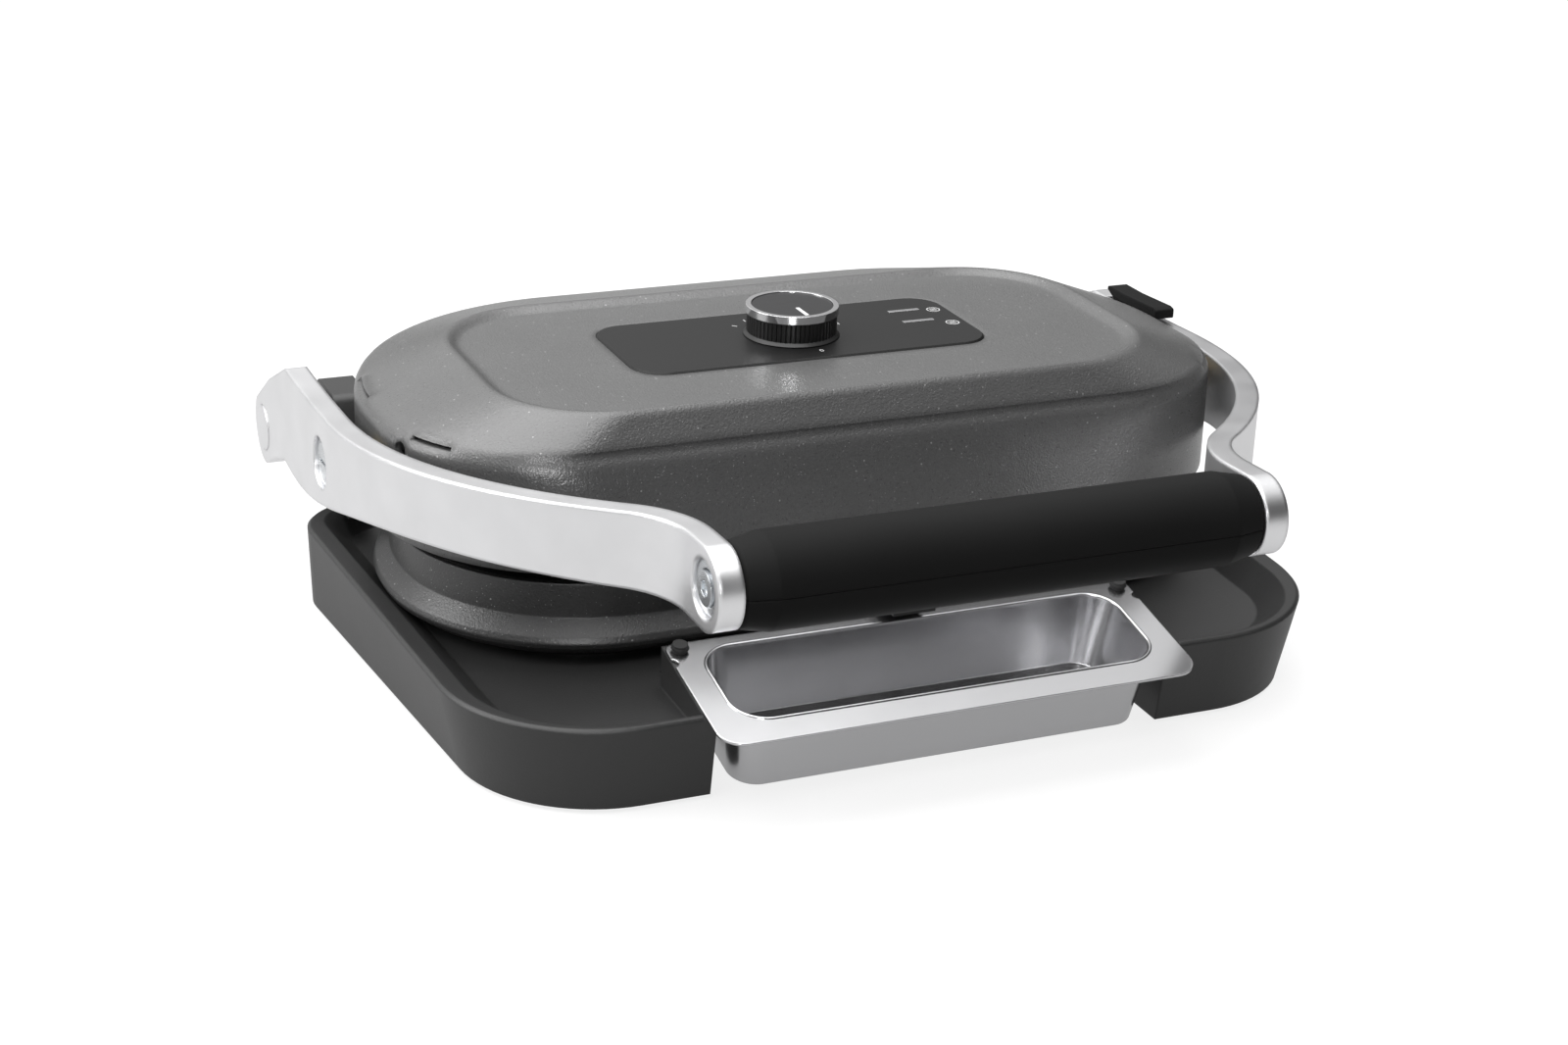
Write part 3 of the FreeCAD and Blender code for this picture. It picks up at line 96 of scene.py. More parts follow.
class Tree:
    """Node tree with one method for every kind of node."""

    def __init__(self, tree: bpy.types.NodeTree) -> None:
        """Empty the tree."""
        self.tree = tree
        self.tree.nodes.clear()

    def node(self, kind: str, settings: dict[str, Any] | None = None, inputs: dict[Any, Any] | None = None,
             output: Any = 0) -> Socket:
        """Add any node.

        Args:
            kind: the node's type name.
            settings: attributes that are set first.
            inputs: values or sockets by input name or index.
            output: name or index of the output that is returned.

        Returns:
            The chosen output, wrapped.
        """
        item = self.tree.nodes.new(kind)
        for name, value in (settings or {}).items():
            setattr(item, name, value)
        for name, value in (inputs or {}).items():
            if isinstance(value, Socket):
                self.tree.links.new(value.link, item.inputs[name])
            else:
                item.inputs[name].default_value = value
        return Socket(self, item.outputs[output])

    def direction(self, kind: str = "Object") -> Socket:
        """Texture coordinates of one kind."""
        return self.node("ShaderNodeTexCoord", output=kind)


class Graph(Tree):
    """Node tree of one material with a Principled shader."""

    def __init__(self, name: str) -> None:
        """Make the material and its shader."""
        self.material = bpy.data.materials.new(f"{name}_finish")
        self.material.use_nodes = True
        super().__init__(self.material.node_tree)
        self.output = self.tree.nodes.new("ShaderNodeOutputMaterial")
        self.shader = self.tree.nodes.new("ShaderNodeBsdfPrincipled")
        self.tree.links.new(self.shader.outputs["BSDF"], self.output.inputs["Surface"])

    def set(self, **values: Any) -> None:
        """Set or link inputs of the Principled shader; underscores stand for spaces."""
        for name, value in values.items():
            target = self.shader.inputs[name.replace("_", " ")]
            if isinstance(value, Socket):
                self.tree.links.new(value.link, target)
            else:
                target.default_value = value

    def stretched(self, factors: Sequence[float]) -> Socket:
        """Object coordinates in metres, each multiplied by a factor."""
        inputs = {0: self.direction(), 1: tuple(factors)}
        return self.node("ShaderNodeVectorMath", {"operation": "MULTIPLY"}, inputs)

    def radius(self, centre: Sequence[float], plane: Sequence[float]) -> Socket:
        """Distance in metres from an axis through `centre`; `plane` is 0 along the axis and 1 across it."""
        moved = self.node("ShaderNodeVectorMath", {"operation": "SUBTRACT"},
                          {0: self.direction(), 1: tuple(centre)})
        flat = self.node("ShaderNodeVectorMath", {"operation": "MULTIPLY"}, {0: moved, 1: tuple(plane)})
        return self.node("ShaderNodeVectorMath", {"operation": "LENGTH"}, {0: flat}, "Value")

    def noise(self, grain: float, detail: float = 2.0, roughness: float = 0.5,
              stretch: Sequence[float] = (1.0, 1.0, 1.0)) -> Socket:
        """Noise whose features are about `grain` metres wide, drawn out along an axis by `stretch`."""
        return self.node("ShaderNodeTexNoise", inputs={"Vector": self.stretched(stretch), "Scale": 1.0 / grain,
                                                       "Detail": detail, "Roughness": roughness})

    def flecks(self, pitch: float, size: float) -> Socket:
        """Mask of small round flecks: `pitch` metres between cells, `size` from 0 to 1 of a cell."""
        settings = {"feature": "F1", "distance": "EUCLIDEAN"}
        inputs = {"Vector": self.direction(), "Scale": 1.0 / pitch, "Randomness": 1.0}
        near = self.node("ShaderNodeTexVoronoi", settings, inputs, "Distance")
        return self.node("ShaderNodeMapRange", {"interpolation_type": "SMOOTHSTEP"},
                         {"Value": near, "From Min": size, "From Max": size * FLECK_CORE, "To Min": 0.0,
                          "To Max": 1.0})

    def cell_value(self, pitch: float) -> Socket:
        """One random value for each cell of the same grid as flecks()."""
        colour = self.node("ShaderNodeTexVoronoi", {"feature": "F1"},
                           {"Vector": self.direction(), "Scale": 1.0 / pitch, "Randomness": 1.0}, "Color")
        return self.node("ShaderNodeSeparateColor", inputs={"Color": colour}, output="Red")

    def mix(self, factor: Any, first: Sequence[float] | Socket, second: Sequence[float] | Socket) -> Socket:
        """Colour between two colours."""
        inputs = {"Factor": factor, MIX_FIRST: self._colour(first), MIX_SECOND: self._colour(second)}
        return self.node("ShaderNodeMix", {"data_type": "RGBA"}, inputs, MIX_RESULT)

    @staticmethod
    def _colour(value: Any) -> Any:
        """Colour with alpha, or the socket as it is."""
        return value if isinstance(value, Socket) else (*value, 1.0)

    def bump(self, height: Socket, depth: float, strength: float = 1.0, edge: float = 0.0) -> None:
        """Feed a height through one Bump node to Normal.

        Args:
            height: the height, from 0 to 1.
            depth: the relief in metres.
            strength: how much of the relief is used.
            edge: radius in metres by which the light rounds the edges.
        """
        inputs = {"Height": height, "Distance": depth, "Strength": strength}
        if edge > 0.0:
            inputs["Normal"] = self.node("ShaderNodeBevel", {"samples": EDGE_SAMPLES}, {"Radius": edge})
        self.set(Normal=self.node("ShaderNodeBump", inputs=inputs, output="Normal"))


def grey(value: float) -> tuple[float, float, float]:
    """Neutral colour."""
    return (value, value, value)


@dataclass(frozen=True)
class CoatedMetal:
    """Dark grey coating with fine pale flecks and an orange-peel surface."""

    name: str
    dark: float = 0.088
    light: float = 0.150
    fleck: float = 0.34
    roughness: float = 0.29
    edge: float = 0.003
    fine_grain: float = 0.0011
    cloud_grain: float = 0.03
    fleck_pitch: float = 0.0014
    fleck_size: float = 0.17
    star_pitch: float = 0.0042
    star_size: float = 0.11
    peel_grain: float = 0.00085
    peel_wave: float = 0.0032
    relief: float = 0.00030
    metallic: float = 0.25
    ior: float = 1.6
    fleck_above: float = 0.50
    star_above: float = 0.35
    fleck_share: float = 0.8
    star_share: float = 0.9
    roughness_spread: float = 0.10
    fleck_height: float = 0.35
    strength: float = 0.65
    fine_share: float = 0.7
    peel_share: float = 0.75

    def build(self) -> bpy.types.Material:
        """Return the material."""
        graph = Graph(self.name)
        fine = graph.noise(self.fine_grain, detail=3.0, roughness=0.6)
        cloud = graph.noise(self.cloud_grain)
        mottle = fine * self.fine_share + cloud * (1.0 - self.fine_share)
        base = graph.mix(mottle, grey(self.dark), grey(self.light))
        chosen = graph.cell_value(self.fleck_pitch) > self.fleck_above
        mask = graph.flecks(self.fleck_pitch, self.fleck_size) * chosen
        chosen_stars = graph.cell_value(self.star_pitch) > self.star_above
        stars = graph.flecks(self.star_pitch, self.star_size) * chosen_stars
        shown = mask * self.fleck_share + stars * self.star_share
        graph.set(Base_Color=graph.mix(shown, base, grey(self.fleck)))
        spread = self.roughness_spread
        graph.set(Roughness=self.roughness - spread * mask + spread * (fine - 0.5))
        graph.set(Metallic=self.metallic, IOR=self.ior)
        peel = graph.noise(self.peel_grain, detail=1.5) * self.peel_share
        wave = graph.noise(self.peel_wave, detail=1.0) * (1.0 - self.peel_share)
        graph.bump(peel + wave + mask * self.fleck_height, self.relief, self.strength, self.edge)
        return graph.material


@dataclass(frozen=True)
class MouldedPlastic:
    """Moulded plastic with an even grain."""

    name: str
    colour: float = 0.012
    roughness: float = 0.5
    grain: float = 0.0008
    relief: float = 0.00006
    gloss: float = 0.5
    edge: float = 0.0008
    ior: float = 1.49
    cloud_grain: float = 0.05
    darkest: float = 0.85
    palest: float = 1.2
    roughness_spread: float = 0.08
    strength: float = 0.5

    def build(self) -> bpy.types.Material:
        """Return the material."""
        graph = Graph(self.name)
        cloud = graph.noise(self.cloud_grain, detail=3.0)
        low, high = grey(self.colour * self.darkest), grey(self.colour * self.palest)
        graph.set(Base_Color=graph.mix(cloud, low, high))
        graph.set(Roughness=self.roughness + self.roughness_spread * (cloud - 0.5))
        graph.set(IOR=self.ior, Specular_IOR_Level=self.gloss)
        graph.bump(graph.noise(self.grain), self.relief, self.strength, self.edge)
        return graph.material


@dataclass(frozen=True)
class BareMetal:
    """Metal with a fine blasted or brushed surface; `stretch` draws the brushing out along an axis."""

    name: str
    colour: tuple[float, float, float] = (0.78, 0.78, 0.79)
    roughness: float = 0.38
    grain: float = 0.0006
    relief: float = 0.00004
    variation: float = 0.06
    edge: float = 0.0006
    stretch: tuple[float, float, float] = (1.0, 1.0, 1.0)
    cloud_grain: float = 0.02
    roughness_spread: float = 0.08
    strength: float = 0.4

    def build(self) -> bpy.types.Material:
        """Return the material."""
        graph = Graph(self.name)
        cloud = graph.noise(self.cloud_grain, detail=3.0)
        low = tuple(c * (1.0 - self.variation) for c in self.colour)
        graph.set(Base_Color=graph.mix(cloud, low, self.colour), Metallic=1.0)
        graph.set(Roughness=self.roughness + self.roughness_spread * (cloud - 0.5))
        graph.bump(graph.noise(self.grain, stretch=self.stretch), self.relief, self.strength, self.edge)
        return graph.material


@dataclass(frozen=True)
class TurnedMetal:
    """Plated metal with fine lathe rings round an axis."""

    name: str
    centre: tuple[float, float, float]
    plane: tuple[float, float, float]
    colour: tuple[float, float, float] = (0.66, 0.68, 0.70)
    roughness: float = 0.26
    pitch: float = 0.0007
    metallic: float = 1.0
    cloud_grain: float = 0.004
    variation: float = 0.14
    roughness_spread: float = 0.10
    relief: float = 0.00003
    strength: float = 0.5
    edge: float = 0.0004
    ring_share: float = 0.7

    def build(self) -> bpy.types.Material:
        """Return the material."""
        graph = Graph(self.name)
        out = graph.radius(self.centre, self.plane)
        rings = (out * (2.0 * math.pi / self.pitch)).sine() * 0.5 + 0.5
        cloud = graph.noise(self.cloud_grain, detail=3.0)
        low = tuple(c * (1.0 - self.variation) for c in self.colour)
        graph.set(Base_Color=graph.mix(cloud, low, self.colour), Metallic=self.metallic)
        graph.set(Roughness=self.roughness + self.roughness_spread * (cloud - 0.5))
        relief = rings * self.ring_share + cloud * (1.0 - self.ring_share)
        graph.bump(relief, self.relief, self.strength, self.edge)
        return graph.material


@dataclass(frozen=True)
class Print:
    """Flat printed ink."""

    name: str
    colour: float = 0.7
    roughness: float = 0.45
    grain: float = 0.002
    worn_share: float = 0.9

    def build(self) -> bpy.types.Material:
        """Return the material."""
        graph = Graph(self.name)
        worn = graph.noise(self.grain)
        graph.set(Base_Color=graph.mix(worn, grey(self.colour * self.worn_share), grey(self.colour)))
        graph.set(Roughness=self.roughness)
        return graph.material


ACROSS_X = (0.0, 1.0, 1.0)
ACROSS_Z = (1.0, 1.0, 0.0)


class Finish(Enum):
    """Named finishes of the grill."""

    LID_COATING = CoatedMetal("lid_coating", edge=0.005)
    # The lower housing wears the lid's speckled coating; its darker colours are painted shade for the shade
    # under the lid and arms.
    HOUSING_COATING_PAINTED_SHADE = CoatedMetal("housing_coating_painted_shade", 0.045, 0.078, roughness=0.40, edge=0.0012)
    BASE_PLASTIC = MouldedPlastic("base_plastic", 0.021, 0.46, 0.0010, 0.00010, 0.6, edge=0.0015)
    GRIP_PLASTIC = MouldedPlastic("grip_plastic", 0.013, 0.52, 0.0007, 0.00003, 0.2, edge=0.0015, ior=1.22)
    PANEL_PLASTIC = MouldedPlastic("panel_plastic", 0.008, 0.42, 0.0007, 0.00003, 0.4, edge=0.0004, ior=1.40)
    KNOB_PLASTIC = MouldedPlastic("knob_plastic", 0.010, 0.36, 0.0007, 0.00002, edge=0.0003)
    INNER_PLASTIC = MouldedPlastic("inner_plastic", 0.45, 0.5)
    RUBBER = MouldedPlastic("rubber", 0.015, 0.7, 0.0010, 0.00005)
    NON_STICK = MouldedPlastic("non_stick", 0.02, 0.42, 0.0012, 0.00008)
    LENS = BareMetal("lamp_lens", (0.72, 0.72, 0.73), 0.25, edge=0.0003)
    CAST_ALUMINIUM = BareMetal("cast_aluminium", (0.84, 0.84, 0.85), 0.36, variation=0.12, edge=0.0022)
    TRAY_ALUMINIUM = BareMetal("tray_aluminium", (0.58, 0.58, 0.59), 0.22, 0.0004, 0.000005, 0.03, 0.0008,
                               (0.1, 1.0, 1.0))
    STEEL = BareMetal("zinc_steel", (0.60, 0.62, 0.64), 0.30)
    SHEET_STEEL = BareMetal("sheet_steel", (0.55, 0.55, 0.56), 0.42, stretch=(0.08, 1.0, 1.0))
    ELEMENT = BareMetal("element_sheath", (0.34, 0.30, 0.27), 0.5)
    CHROME = BareMetal("chrome", (0.90, 0.90, 0.91), 0.08, 0.002, 0.00001, 0.02, 0.0004)
    BRASS = BareMetal("bush_brass", (0.62, 0.48, 0.24), 0.35)
    PIVOT_ZINC = TurnedMetal("pivot_zinc", (0.0, 0.0525, 0.084), ACROSS_X)
    NOSE_ZINC = TurnedMetal("nose_zinc", (0.0, -0.1555, 0.102), ACROSS_X)
    DIAL_DISC = TurnedMetal("dial_disc", (0.0, 0.0357, 0.137), ACROSS_Z, (0.012, 0.012, 0.013), 0.30, 0.0006,
                            metallic=0.0)
    WHITE_PRINT = Print("white_print", 0.62)
    POINTER = Print("pointer_paint", 0.78)

    def material(self) -> bpy.types.Material:
        """Return the finish's material, built once."""
        known = bpy.data.materials.get(f"{self.value.name}_finish")
        return known or self.value.build()


def dress(finish: Finish, *nodes: str) -> None:
    """Give CAD nodes one finish.

    Args:
        finish: the finish.
        nodes: names of CAD nodes.
    """
    for name in nodes:
        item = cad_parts[name]
        item.data.materials.clear()
        item.data.materials.append(finish.material())
        LOG.info("dressed %s", name)


def top_of(node: str) -> float:
    """Height of a node's highest point."""
    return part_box(node)[1][2]


def middle_of(node: str) -> Vector:
    """Middle of a node's box."""
    low, high = (Vector(corner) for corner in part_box(node))
    return (low + high) / 2.0


def add_piece(name: str, body: str, finish: Finish, mesh: bmesh.types.BMesh) -> bpy.types.Object:
    """Turn a bmesh into a piece that rides on a body.

    Args:
        name: name of the piece.
        body: name of the CAD body that it moves with.
        finish: its finish.
        mesh: the shape in metres; it is freed.

    Returns:
        The new object.
    """
    data = bpy.data.meshes.new(name)
    mesh.normal_update()
    mesh.to_mesh(data)
    mesh.free()
    data.materials.append(finish.material())
    piece = bpy.data.objects.new(name, data)
    bpy.context.scene.collection.objects.link(piece)
    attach(piece, body)
    LOG.info("made %s with %d faces", name, len(data.polygons))
    return piece


def add_slab(mesh: bmesh.types.BMesh, outline: Sequence[Vector], low: float, high: float) -> None:
    """Add an upright prism over a flat outline.

    Args:
        mesh: the bmesh that it goes into.
        outline: corners in order, as vectors in x and y.
        low: height of the underside.
        high: height of the top.
    """
    lower = [mesh.verts.new((corner.x, corner.y, low)) for corner in outline]
    upper = [mesh.verts.new((corner.x, corner.y, high)) for corner in outline]
    count = len(outline)
    mesh.faces.new(upper)
    mesh.faces.new(list(reversed(lower)))
    for i in range(count):
        j = (i + 1) % count
        mesh.faces.new((lower[i], lower[j], upper[j], upper[i]))


def add_ring(mesh: bmesh.types.BMesh, centre: Vector, inner: float, outer: float, low: float, high: float,
             count: int = 32) -> None:
    """Add a flat ring.

    Args:
        mesh: the bmesh that it goes into.
        centre: middle in x and y.
        inner: inner radius.
        outer: outer radius.
        low: height of the underside.
        high: height of the top.
        count: segments round the ring.
    """
    loops = []
    for radius, height in ((inner, low), (outer, low), (outer, high), (inner, high)):
        angles = (2.0 * math.pi * i / count for i in range(count))
        loops.append([mesh.verts.new((centre.x + radius * math.cos(a), centre.y + radius * math.sin(a), height))
                      for a in angles])
    for i in range(count):
        j = (i + 1) % count
        for k in range(4):
            first, second = loops[k], loops[(k + 1) % 4]
            mesh.faces.new((first[i], first[j], second[j], second[i]))


def add_turned(mesh: bmesh.types.BMesh, seat: Vector, side: float, profile: Sequence[tuple[float, float]],
               count: int = 48) -> None:
    """Add a closed ring turned round an axis along X.

    Args:
        mesh: the bmesh that it goes into.
        seat: point of the axis from which depths are measured.
        side: 1.0 for depths towards +X, -1.0 towards -X.
        profile: closed outline as pairs of radius and depth.
        count: segments round the ring.
    """
    loops = []
    for radius, depth in profile:
        angles = (2.0 * math.pi * i / count for i in range(count))
        loops.append([mesh.verts.new((seat.x + side * depth, seat.y + radius * math.cos(a),
                                      seat.z + radius * math.sin(a))) for a in angles])
    for k, first in enumerate(loops):
        second = loops[(k + 1) % len(loops)]
        for i in range(count):
            j = (i + 1) % count
            mesh.faces.new((first[i], first[j], second[j], second[i]))


@dataclass
class BaseTub:
    """Black base with its cover, feet, hinge towers and gland."""

    screw_radius: float = 3.4 * MM
    screw_height: float = 1.3 * MM
    recess_width: float = 1.0 * MM
    recess_length: float = 3.8 * MM
    recess_depth: float = 0.8 * MM
    head_segments: int = 24
    head_rings: tuple[tuple[float, float], ...] = ((1.0, 0.0), (1.0, 0.45), (0.86, 0.8), (0.62, 1.0))
    screw_places: tuple[tuple[float, float], ...] = ((-0.150, -0.040), (0.150, -0.040), (-0.162, 0.070),
                                                     (0.162, 0.070), (-0.080, 0.128), (0.080, 0.128))

    def build(self) -> None:
        """Dress the nodes and add the cover's screws."""
        dress(Finish.BASE_PLASTIC, "base_shell", "right_hinge_tower", "left_hinge_tower", "cord_gland")
        dress(Finish.SHEET_STEEL, "bottom_cover")
        dress(Finish.RUBBER, "rubber_feet")
        dress(Finish.INNER_PLASTIC, "terminal_block")
        dress(Finish.STEEL, "hinge_pins")
        self._screws()

    def _screws(self) -> None:
        """Make the cross-head screws of the bottom cover."""
        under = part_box("bottom_cover")[0][2]
        mesh = bmesh.new()
        for x, y in self.screw_places:
            self._head(mesh, Vector((x, y)), under)
        add_piece("cover_screws", "base", Finish.STEEL, mesh)

    def _head(self, mesh: bmesh.types.BMesh, centre: Vector, under: float) -> None:
        """Add one domed head with a cross-shaped recess.

        Args:
            mesh: the bmesh that it goes into.
            centre: middle in x and y.
            under: height of the face that it sits against.
        """
        count, loops = self.head_segments, []
        for share, depth in self.head_rings:
            angles = (2.0 * math.pi * i / count for i in range(count))
            loops.append([mesh.verts.new((centre.x + self.screw_radius * share * math.cos(a),
                                          centre.y + self.screw_radius * share * math.sin(a),
                                          under - self.screw_height * depth)) for a in angles])
        for first, second in zip(loops, loops[1:]):
            for i in range(count):
                j = (i + 1) % count
                mesh.faces.new((first[i], second[i], second[j], first[j]))
        tip = under - self.screw_height
        cross = self._cross(centre)
        floor = [mesh.verts.new((corner.x, corner.y, tip + self.recess_depth)) for corner in cross]
        brim = [mesh.verts.new((corner.x, corner.y, tip)) for corner in cross]
        for i in range(len(cross)):
            j = (i + 1) % len(cross)
            mesh.faces.new((brim[i], floor[i], floor[j], brim[j]))
        mesh.faces.new(floor)
        outer = [mesh.edges.get((a, b)) for a, b in zip(loops[-1], loops[-1][1:] + loops[-1][:1])]
        inner = [mesh.edges.get((a, b)) for a, b in zip(brim, brim[1:] + brim[:1])]
        bmesh.ops.triangle_fill(mesh, edges=outer + inner, use_beauty=True)

    def _cross(self, centre: Vector) -> list[Vector]:
        """Corners of the cross-shaped recess."""
        w, r = self.recess_width / 2.0, self.recess_length / 2.0
        corners = [(w, w), (w, r), (-w, r), (-w, w), (-r, w), (-r, -w), (-w, -w), (-w, -r), (w, -r), (w, -w),
                   (r, -w), (r, w)]
        return [centre + Vector(corner) for corner in corners]


@dataclass
class CookingParts:
    """Lower housing, plates, elements and reflectors."""

    def build(self) -> None:
        """Dress the nodes."""
        # The housing's darker coating is painted shade: it is the lid's coating darkened for the shade under
        # the lid and arms.
        dress(Finish.HOUSING_COATING_PAINTED_SHADE, "lower_housing")
        dress(Finish.NON_STICK, "lower_plate", "upper_plate")
        dress(Finish.ELEMENT, "lower_element", "upper_element")
        dress(Finish.SHEET_STEEL, "lower_reflector", "upper_reflector")


@dataclass
class Lid:
    """Coated lid with its pivot bushes and brackets."""

    def build(self) -> None:
        """Dress the nodes."""
        dress(Finish.LID_COATING, "lid_shell")
        dress(Finish.BRASS, "lid_bushes")
        dress(Finish.SHEET_STEEL, "lid_brackets")


@dataclass
class ControlDeck:
    """Panel with the dial, its printed scale and the two lamps."""

    ink: float = 0.03 * MM
    digit_height: float = 2.9 * MM
    digit_radius: float = 25.2 * MM
    digits: tuple[tuple[str, float], ...] = (("0", -83.0), ("1", 119.0), ("2", 67.0), ("3", 15.0))
    tick_length: float = 2.4 * MM
    tick_width: float = 0.5 * MM
    tick_angles: tuple[float, ...] = (139.0, 93.0, 41.0)
    icon_x: float = 72.6 * MM
    icon_y: tuple[float, float] = (48.6 * MM, 29.6 * MM)
    icon_radius: float = 3.0 * MM
    icon_line: float = 0.45 * MM
    type_size: float = 1.35
    type_segments: int = 4
    bar_shift: float = 0.36
    bar_half: float = 0.5
    level: float = field(init=False)
    dial: Vector = field(init=False)

    def build(self) -> None:
        """Dress the nodes and print the scale and the lamp signs."""
        dress(Finish.PANEL_PLASTIC, "control_panel")
        dress(Finish.LENS, "indicator_lenses")
        dress(Finish.INNER_PLASTIC, "thermostat")
        dress(Finish.KNOB_PLASTIC, "knob_body")
        dress(Finish.CHROME, "knob_ring")
        dress(Finish.DIAL_DISC, "knob_disc")
        dress(Finish.POINTER, "knob_pointer")
        self.level = top_of("control_panel")
        self.dial = middle_of("knob_ring")
        for digit, angle in self.digits:
            self._digit(digit, angle)
        self._ticks()
        self._icons()

    def _at(self, angle: float, radius: float) -> Vector:
        """Point on the panel at an angle and distance from the dial's middle."""
        turn = math.radians(angle)
        return Vector((self.dial.x + radius * math.cos(turn), self.dial.y + radius * math.sin(turn)))

    def _digit(self, digit: str, angle: float) -> None:
        """Print one digit of the scale.

        Args:
            digit: the digit.
            angle: its place round the dial in degrees.
        """
        curve = bpy.data.curves.new("dial_digit_" + digit, "FONT")
        curve.body = digit
        curve.size = self.digit_height * self.type_size
        curve.align_x = "CENTER"
        curve.align_y = "CENTER"
        curve.extrude = self.ink / 2.0
        curve.resolution_u = self.type_segments
        curve.materials.append(Finish.WHITE_PRINT.material())
        piece = bpy.data.objects.new(curve.name, curve)
        place = self._at(angle, self.digit_radius)
        piece.location = (place.x, place.y, self.level + self.ink / 2.0)
        bpy.context.scene.collection.objects.link(piece)
        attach(piece, "lid")
        LOG.info("printed digit %s", digit)

    def _ticks(self) -> None:
        """Print the ticks of the scale."""
        mesh = bmesh.new()
        for angle in self.tick_angles:
            along = (self._at(angle, 1.0) - self._at(angle, 0.0)) * (self.tick_length / 2.0)
            across = along.orthogonal().normalized() * (self.tick_width / 2.0)
            middle = self._at(angle, self.digit_radius)
            corners = [middle - along - across, middle + along - across, middle + along + across,
                       middle - along + across]
            add_slab(mesh, corners, self.level, self.level + self.ink)
        bmesh.ops.recalc_face_normals(mesh, faces=mesh.faces)
        add_piece("dial_ticks", "lid", Finish.WHITE_PRINT, mesh)

    def _icons(self) -> None:
        """Print the signs beside the lamps: a ring with three short bars in it."""
        mesh = bmesh.new()
        for y in self.icon_y:
            middle = Vector((self.icon_x, y))
            add_ring(mesh, middle, self.icon_radius - self.icon_line, self.icon_radius, self.level,
                     self.level + self.ink)
            for shift in (-1.0, 0.0, 1.0):
                bar = middle + Vector((0.0, shift * self.bar_shift * self.icon_radius))
                half = Vector((self.bar_half * self.icon_radius, self.icon_line / 2.0))
                corners = [bar + Vector((sx * half.x, sy * half.y))
                           for sx, sy in ((-1, -1), (1, -1), (1, 1), (-1, 1))]
                add_slab(mesh, corners, self.level, self.level + self.ink)
        bmesh.ops.recalc_face_normals(mesh, faces=mesh.faces)
        add_piece("lamp_signs", "lid", Finish.WHITE_PRINT, mesh)


@dataclass
class CarryingArms:
    """Cast arms with the grip, their fasteners and the thumb lever."""

    washer_radius: float = 10.4 * MM
    washer_thickness: float = 1.3 * MM
    washer_round: float = 0.4 * MM
    pivot_bore: float = 8.2 * MM
    pivot_head_height: float = 1.8 * MM
    nose_bore: float = 6.8 * MM
    nose_head_height: float = 2.6 * MM

    def build(self) -> None:
        """Dress the nodes and add the washers round the bolt heads."""
        dress(Finish.CAST_ALUMINIUM, "left_arm", "right_arm", "hinge_caps")
        dress(Finish.PIVOT_ZINC, "pivot_bolts")
        dress(Finish.NOSE_ZINC, "grip_bolts")
        dress(Finish.STEEL, "grip_core", "lever_pin")
        dress(Finish.GRIP_PLASTIC, "grip_upper", "grip_lower", "release_lever")
        self._washers("pivot_bolts", "pivot_washers", Finish.PIVOT_ZINC, self.pivot_bore,
                      self.pivot_head_height)
        self._washers("grip_bolts", "nose_washers", Finish.NOSE_ZINC, self.nose_bore, self.nose_head_height)

    def _washers(self, bolts: str, name: str, finish: Finish, bore: float, head: float) -> None:
        """Make the pair of washers that lie on the floor of the round recesses.

        Args:
            bolts: CAD node of the bolts.
            name: name of the new piece.
            finish: its finish.
            bore: inner radius.
            head: height of the bolt's head above the recess floor.
        """
        low, high = (Vector(corner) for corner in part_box(bolts))
        middle = (low + high) / 2.0
        profile = ((bore, 0.0), (self.washer_radius, 0.0),
                   (self.washer_radius, self.washer_thickness - self.washer_round),
                   (self.washer_radius - self.washer_round, self.washer_thickness),
                   (bore + self.washer_round, self.washer_thickness),
                   (bore, self.washer_thickness - self.washer_round))
        mesh = bmesh.new()
        for side, seat in ((1.0, high.x - head), (-1.0, low.x + head)):
            add_turned(mesh, Vector((seat, middle.y, middle.z)), side, profile)
        bmesh.ops.recalc_face_normals(mesh, faces=mesh.faces)
        add_piece(name, "arms", finish, mesh)


